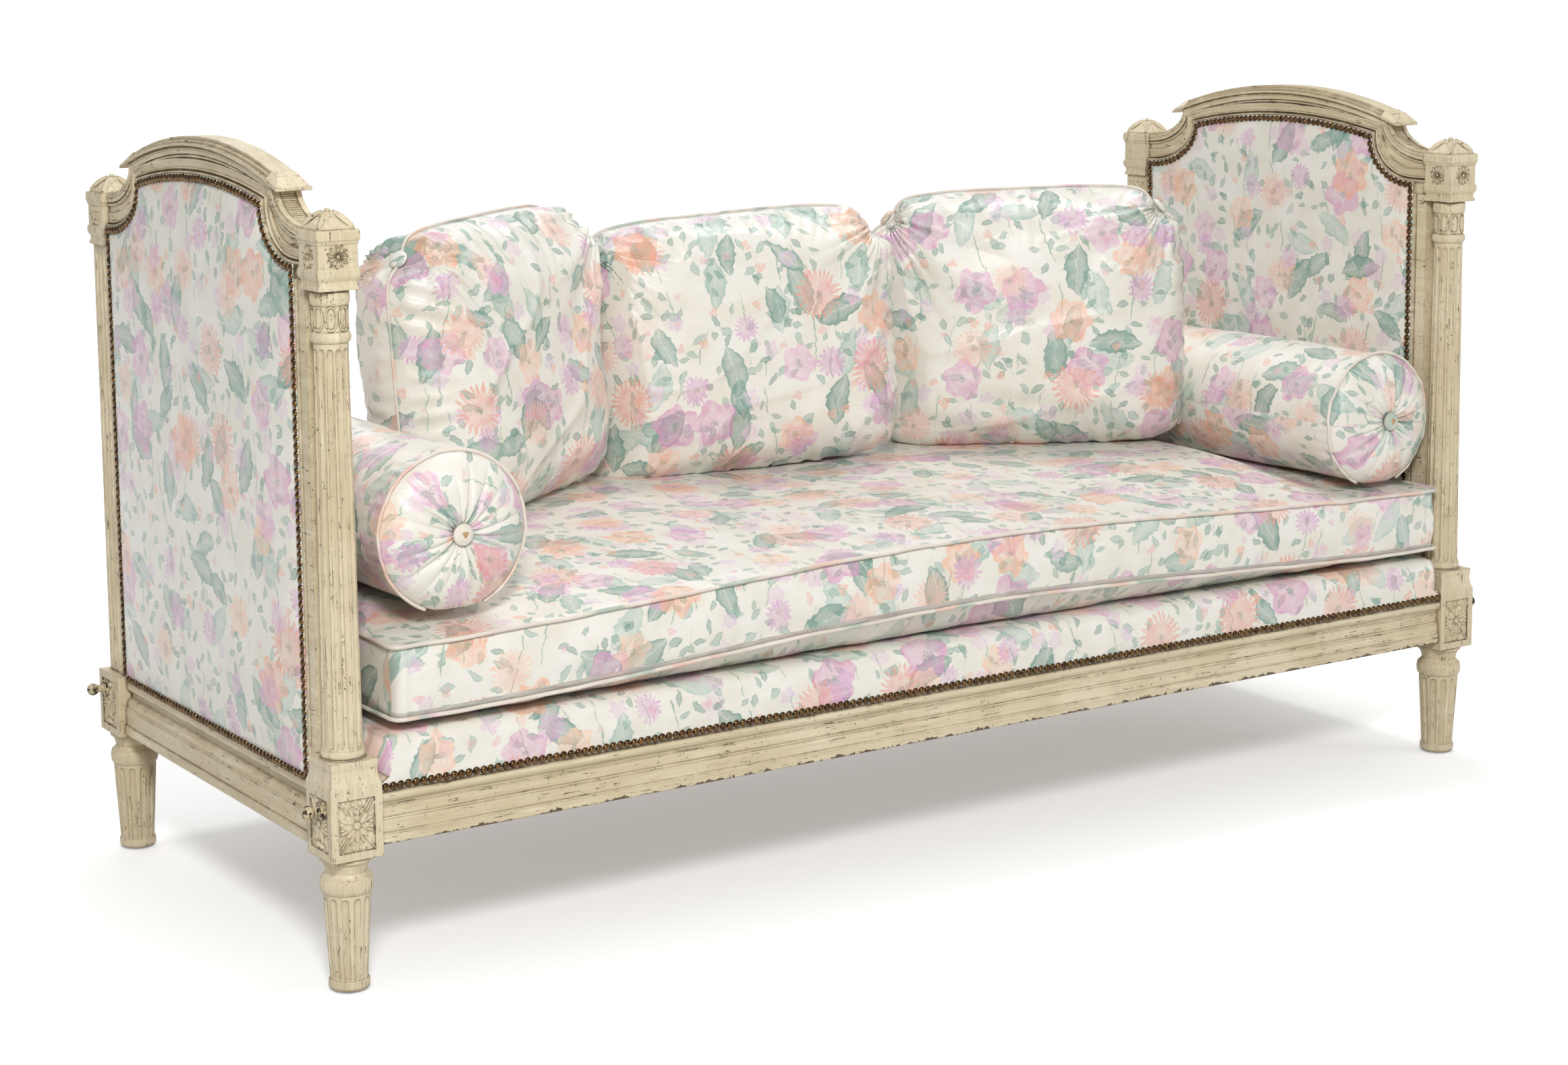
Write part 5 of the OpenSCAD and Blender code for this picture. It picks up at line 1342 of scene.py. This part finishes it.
def crest_line(inset):
    """Depth and height along the crest's outer edge, from its foot at the back to that in front."""
    half, middle = CREST_EAR_HALF - inset, CREST_TOP - CREST_R
    deep, rise = CREST_END - CREST_EAR_HALF + inset, CREST_EAR_Z - CREST_END_Z + inset
    limit = middle + math.sqrt((CREST_R - inset) ** 2 - half ** 2)
    scoop = [(CREST_END - deep * math.sin(a), CREST_EAR_Z - rise * math.cos(a))
             for a in np.radians(np.linspace(0, 90, 16))]
    scoop = [p for p in scoop if p[1] < limit - 0.0005]
    top = arc(middle, CREST_R - inset, half, 60)
    return np.array(scoop + top + [(-y, z) for y, z in scoop[::-1]])


def sight_line(d):
    """A line d outside the nails, over the shoulders and the arch, out to both capitals."""
    near = shoulder(FRONT_LINE, d, 14)[1:]
    far = shoulder(BACK_LINE, d, 14)[1:]
    return np.array([(CREST_END, far[0][1])] + far + arch(d, 40) + [(-y, z) for y, z in near[::-1]]
                    + [(-CREST_END, near[0][1])])


def swept(side, outward, lines, heights):
    """A moulding run over an end's face: one line for each height of its profile."""
    return sheet([xyz(side * POST_X + outward * h, *line.T) for line, h in zip(lines, heights)])


def crest_mouldings(side, word):
    """Mitred mouldings of a crest: bead and cyma beside the nails, a bead inside the outer band.

    Each profile is a list of distances from its line and heights over the middle of the wood.
    """
    sight = [(0.0062, 0.0218), (0.0066, 0.0228), (0.0078, 0.0234), (0.009, 0.0228),
             (0.0094, 0.0165), (0.0108, 0.0165), (0.0112, 0.0192), (0.0125, 0.0206),
             (0.0138, 0.0192), (0.0143, 0.0174), (0.0175, 0.0177), (0.0205, 0.0185),
             (0.0228, 0.0198), (0.0242, 0.0207), (0.0262, 0.0209), (0.0266, 0.0164)]
    outer = [(0.0168, 0.0164), (0.0164, 0.0188), (0.015, 0.0203), (0.0136, 0.0203),
             (0.0122, 0.0188), (0.0118, 0.0164)]
    rim = [(0.0048, 0.02), (0.0044, 0.0212), (0.0032, 0.0219), (0.0018, 0.0212), (0.0014, 0.02)]
    parts = []
    for outward in (-1, 1):
        parts.append(swept(side, outward, [sight_line(d) for d, _ in sight], [h for _, h in sight]))
        for profile in (outer, rim):
            lines = [crest_line(e) for e, _ in profile]
            shortest = min(len(line) for line in lines)
            lines = [fitted(line, shortest) for line in lines]
            parts.append(swept(side, outward, lines, [h for _, h in profile]))
    assembled(f"crest_mouldings_{word}", parts, END_PAINT, "frame", angle=40)


def fitted(line, count):
    """The same line with another number of points on each of its scoops."""
    spare = (len(line) - count) // 2
    return np.vstack([line[:1], line[1 + spare:len(line) - 1 - spare], line[-1:]])


def cap_end_blocks(side, word):
    """Hipped blocks that end a crest's moulded cap, their first and last rings drawn in."""
    stations = (-0.034, -0.0335, -0.018, -0.004, 0.0004, 0.0005)
    parts = []
    for way in (-1, 1):
        rows = []
        for station in stations:
            y = CREST_EAR_HALF + 0.024 + station
            base = CREST_TOP - CREST_R + math.sqrt(CREST_R ** 2 - y * y)
            hip = max(0.0, (station + 0.018) / 0.0185)
            high, top = 0.0136 + (0.0042 - 0.0136) * hip, 0.0158 + (0.0245 - 0.0158) * hip
            shrink = 0.5 if station in (stations[0], stations[-1]) else 1
            high, top, foot = high * shrink, top * shrink, 0.0256 * shrink
            half = [(foot, -0.0002), (foot, 0.0036), (foot - 0.001, 0.0042), (top, high)]
            section = [(-x, z) for x, z in half] + [(0, high + 0.0003)] + half[::-1]
            rows.append([(side * POST_X + x, way * y, base + z) for x, z in section])
        parts.append(sheet(rows, True))
    assembled(f"cap_ends_{word}", parts, END_PAINT, "frame", angle=35)


def shoulder_reeds(side, word):
    """Reeded panel in the edge of each concave shoulder, between two flat fillets."""
    parts = []
    deep, rise = CREST_END - CREST_EAR_HALF, CREST_EAR_Z - CREST_END_Z

    def edge(x, way, a, proud=0.0):
        y, z = CREST_END - (deep - proud) * math.sin(a), CREST_EAR_Z - (rise - proud) * math.cos(a)
        return side * POST_X + x, way * y, z

    across, sweep = np.linspace(-0.0098, 0.0098, 5), np.radians(np.linspace(2, 88, 24))
    for way in (-1, 1):
        for a in np.radians(np.linspace(8, 84, 22)):
            parts.append(tube([edge(x, way, a) for x in across], 0.0016, 8, False))
        for low, high in ((-0.0192, -0.0114), (0.0114, 0.0192)):
            fillet = ((low, 0.0), (low, 0.0026), (high, 0.0026), (high, 0.0))
            parts.append(sheet([[edge(x, way, a, proud) for a in sweep] for x, proud in fillet]))
    assembled(f"shoulder_reeds_{word}", parts, CARVED_PAINT, "frame", angle=40)


def drum_cartouches():
    """Raised oval rims round the bosses on the drum of each column."""
    c, s = np.cos(circle(28)), np.sin(circle(28))
    drum, middle = 0.0225, CAPITAL_Z - 0.036
    oval = 0.0068 * np.sign(c) * abs(c) ** 0.9 / drum
    high = middle + 0.0152 * np.sign(s) * abs(s) ** 0.8
    for sx, word in ENDS:
        parts = []
        for k in range(8):
            across = oval + (k + 0.5) * math.pi / 4
            path = xyz(sx * POST_X + (drum + 0.0003) * np.cos(across),
                       FRONT * POST_Y + (drum + 0.0003) * np.sin(across), high)
            parts.append(tube(path, 0.0014, 6, True))
        assembled(f"drum_cartouches_{word}", parts, CARVED_PAINT, "frame")


def rail_mouldings():
    """Roll under the nails of each long rail, and the beads that edge its two flat bands."""
    face, reach = 0.4035, POST_X - BLOCK_HALF
    roll = [(-0.0004, 0.2634), (0.0012, 0.2628), (0.0023, 0.2612), (0.0026, 0.2585), (0.002, 0.256),
            (0.0004, 0.2535), (-0.0018, 0.2513), (-0.0034, 0.2498), (-0.0052, 0.2492)]
    xs = np.linspace(-reach, reach, 60)
    beads = ((-0.0047, 0.2452, 0.0013), (-0.0034, 0.2283, 0.0017), (-0.0013, 0.2089, 0.0017))
    for way, word in ROWS:
        parts = [sheet([xyz(xs, way * (face + out), z) for out, z in roll])]
        parts += [tube(xyz(xs, way * (face + out), z), r, 8, False) for out, z, r in beads]
        assembled(f"rail_mouldings_{word}", parts, RAIL_PAINT, "frame", angle=45)


def end_rail_beads():
    """Beads that edge the bands of the bottom rail of each end, on its outward face."""
    low, half, reach = LEG_TOP + 0.004, 0.022, POST_Y - BLOCK_HALF
    tall = NAIL_Z + LAND - low
    # shares of the rail's half thickness and of its height, and the radius of each bead
    beads = ((1.18, 0.122, 0.0016), (1.06, 0.4, 0.0017), (0.82, 0.53, 0.0016),
             (0.72, 0.655, 0.0013))
    ys = np.linspace(-reach, reach, 24)
    for side, word in ENDS:
        parts = [tube(xyz(side * (POST_X + out * half), ys, low + share * tall), r, 8, False)
                 for out, share, r in beads]
        assembled(f"end_rail_beads_{word}", parts, END_PAINT, "frame", angle=45)


# ---------------------------------------------------------------- the frame's own nodes


PACKED = {
    ("leg", "corner_block", "column", "pilaster", "capital", "finials"): POST_PAINT,
    ("front_rail", "back_rail"): RAIL_PAINT,
    ("front_stile", "back_stile", "crest", "end_rail"): END_PAINT,
    ("bed_bolt", "bolt_"): BOLT_STEEL,
    ("foot_glides",): GLIDE_STEEL,
    ("slat_cleats", "deck_slats"): BEECH,
    ("end_webbing",): JUTE,
}


def finish_frame():
    """Every node that shows as it was packed gets its finish, by the start of its name."""
    for name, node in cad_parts.items():
        for starts, finish in PACKED.items():
            if name.startswith(starts):
                node.data.materials.clear()
                node.data.materials.append(finish.material)


# ---------------------------------------------------------------- floor, light and camera


def studio_floor():
    """A pale floor that takes the shadow, with a glow of its own for the rays that show it."""
    size = 60.0
    corners = [(-size, -size, 0), (size, -size, 0), (size, size, 0), (-size, size, 0)]
    mesh = bpy.data.meshes.new("studio_floor")
    mesh.from_pydata(corners, [], [(0, 1, 2, 3)])
    floor = bpy.data.objects.new("studio_floor", mesh)
    bpy.context.scene.collection.objects.link(floor)
    finish = Finish("pale_floor", "cream_paint", Roughness=0.9, Specular_IOR_Level=0.0)
    seen = finish.on_rays("Camera", "Glossy", "Transmission")
    finish.set("Base Color", finish.mix(seen, (214, 212, 208), (255, 255, 255)))
    far = finish.node("ShaderNodeVectorMath", {"operation": "LENGTH"}, {0: finish.place()}, "Value")
    glow = seen * (0.28 + finish.smooth(far, 1.2, 3.2) * 0.45)
    cool_white = (250.46, 253.88, 255)
    finish.set("Emission Color", finish.mix(glow, (0, 0, 0), cool_white))
    finish.set("Emission Strength", 1.0)
    mesh.materials.append(finish.material)


def studio_world():
    """An even white room, at full white only where it is seen."""
    world = bpy.data.worlds.new("studio")
    bpy.context.scene.world = world
    world.use_nodes = True
    sky = Nodes(world.node_tree)
    seen = sky.on_rays("Camera", "Transmission")
    level = sky.node("ShaderNodeMapRange", None, {"Value": seen, "To Min": 0.42, "To Max": 1.0})
    shade = sky.tree.nodes["Background"]
    sky.feed(shade.inputs["Color"], (1.0, 1.0, 1.0, 1.0))
    sky.feed(shade.inputs["Strength"], level)


def lamp(name, place, target, size, power):
    """A round lamp turned to a point."""
    light = bpy.data.lights.new(name, "AREA")
    light.shape = "DISK"
    light.size = size
    light.energy = power
    made = bpy.data.objects.new(name, light)
    bpy.context.scene.collection.objects.link(made)
    made.location = place
    made.rotation_euler = (Vector(target) - Vector(place)).to_track_quat("-Z", "Y").to_euler()


def studio_lamps():
    lamp("key_lamp", (-2.6, -4.0, 3.4), (0.1, 0, 0.5), 1.0, 160)
    lamp("top_lamp", (1.2, 0.9, 4.4), (0.1, 0, 0.4), 1.2, 52)
    lamp("side_lamp", (4.4, -3.6, 2.0), (0.6, 0, 0.6), 2.4, 36)
    lamp("back_lamp", (1.4, 4.6, 2.9), (0, 0, 0.5), 4.4, 62)


def photo_camera():
    """The photograph's camera, as fitted to its points. Picture measures are in pixels."""
    yaw, pitch, roll = 0.55903, -0.13735, -0.01257
    place = (-2.551226, -3.693219, 1.337986)
    wide, tall, focal, middle_x, middle_y = 2324, 1579, 4294.48, 1013.77, 520.9
    ahead = Vector((math.sin(yaw), math.cos(yaw), 0))
    level = Vector((math.cos(yaw), -math.sin(yaw), 0))
    forward = ahead * math.cos(pitch) + Vector((0, 0, math.sin(pitch)))
    upright = level.cross(forward)
    right = math.cos(roll) * level + math.sin(roll) * upright
    up = -math.sin(roll) * level + math.cos(roll) * upright
    data = bpy.data.cameras.new("photo_camera")
    data.sensor_width = 36.0
    data.lens = data.sensor_width * focal / wide
    data.shift_x = (wide / 2 - middle_x) / wide
    data.shift_y = (middle_y - tall / 2) / wide
    data.clip_end = 500.0
    camera = bpy.data.objects.new("photo_camera", data)
    bpy.context.scene.collection.objects.link(camera)
    turn = Matrix((right, up, -forward)).transposed()
    camera.matrix_world = Matrix.Translation(place) @ turn.to_4x4()
    bpy.context.scene.camera = camera


# ---------------------------------------------------------------- the daybed, piece by piece

for side, word in ENDS:
    end_panel(side, 1, f"outer_pad_{word}_cloth")
    end_panel(side, -1, f"inner_pad_{word}_cloth")
place_nails()
deck_cloth()
seat_cushion()
seat_welts()
for side, (_, word) in enumerate(ENDS):
    bolster(side, word)
for seed, word in enumerate(PILLOWS, 1):
    pillow(word, seed)
rail_mouldings()
end_rail_beads()
carve_blocks()
carve_capitals()
carve_finials()
for side, word in ENDS:
    crest_mouldings(side, word)
    cap_end_blocks(side, word)
    shoulder_reeds(side, word)
drum_cartouches()
finish_frame()

studio_floor()
studio_world()
studio_lamps()
photo_camera()
bpy.context.scene.view_settings.view_transform = "Standard"
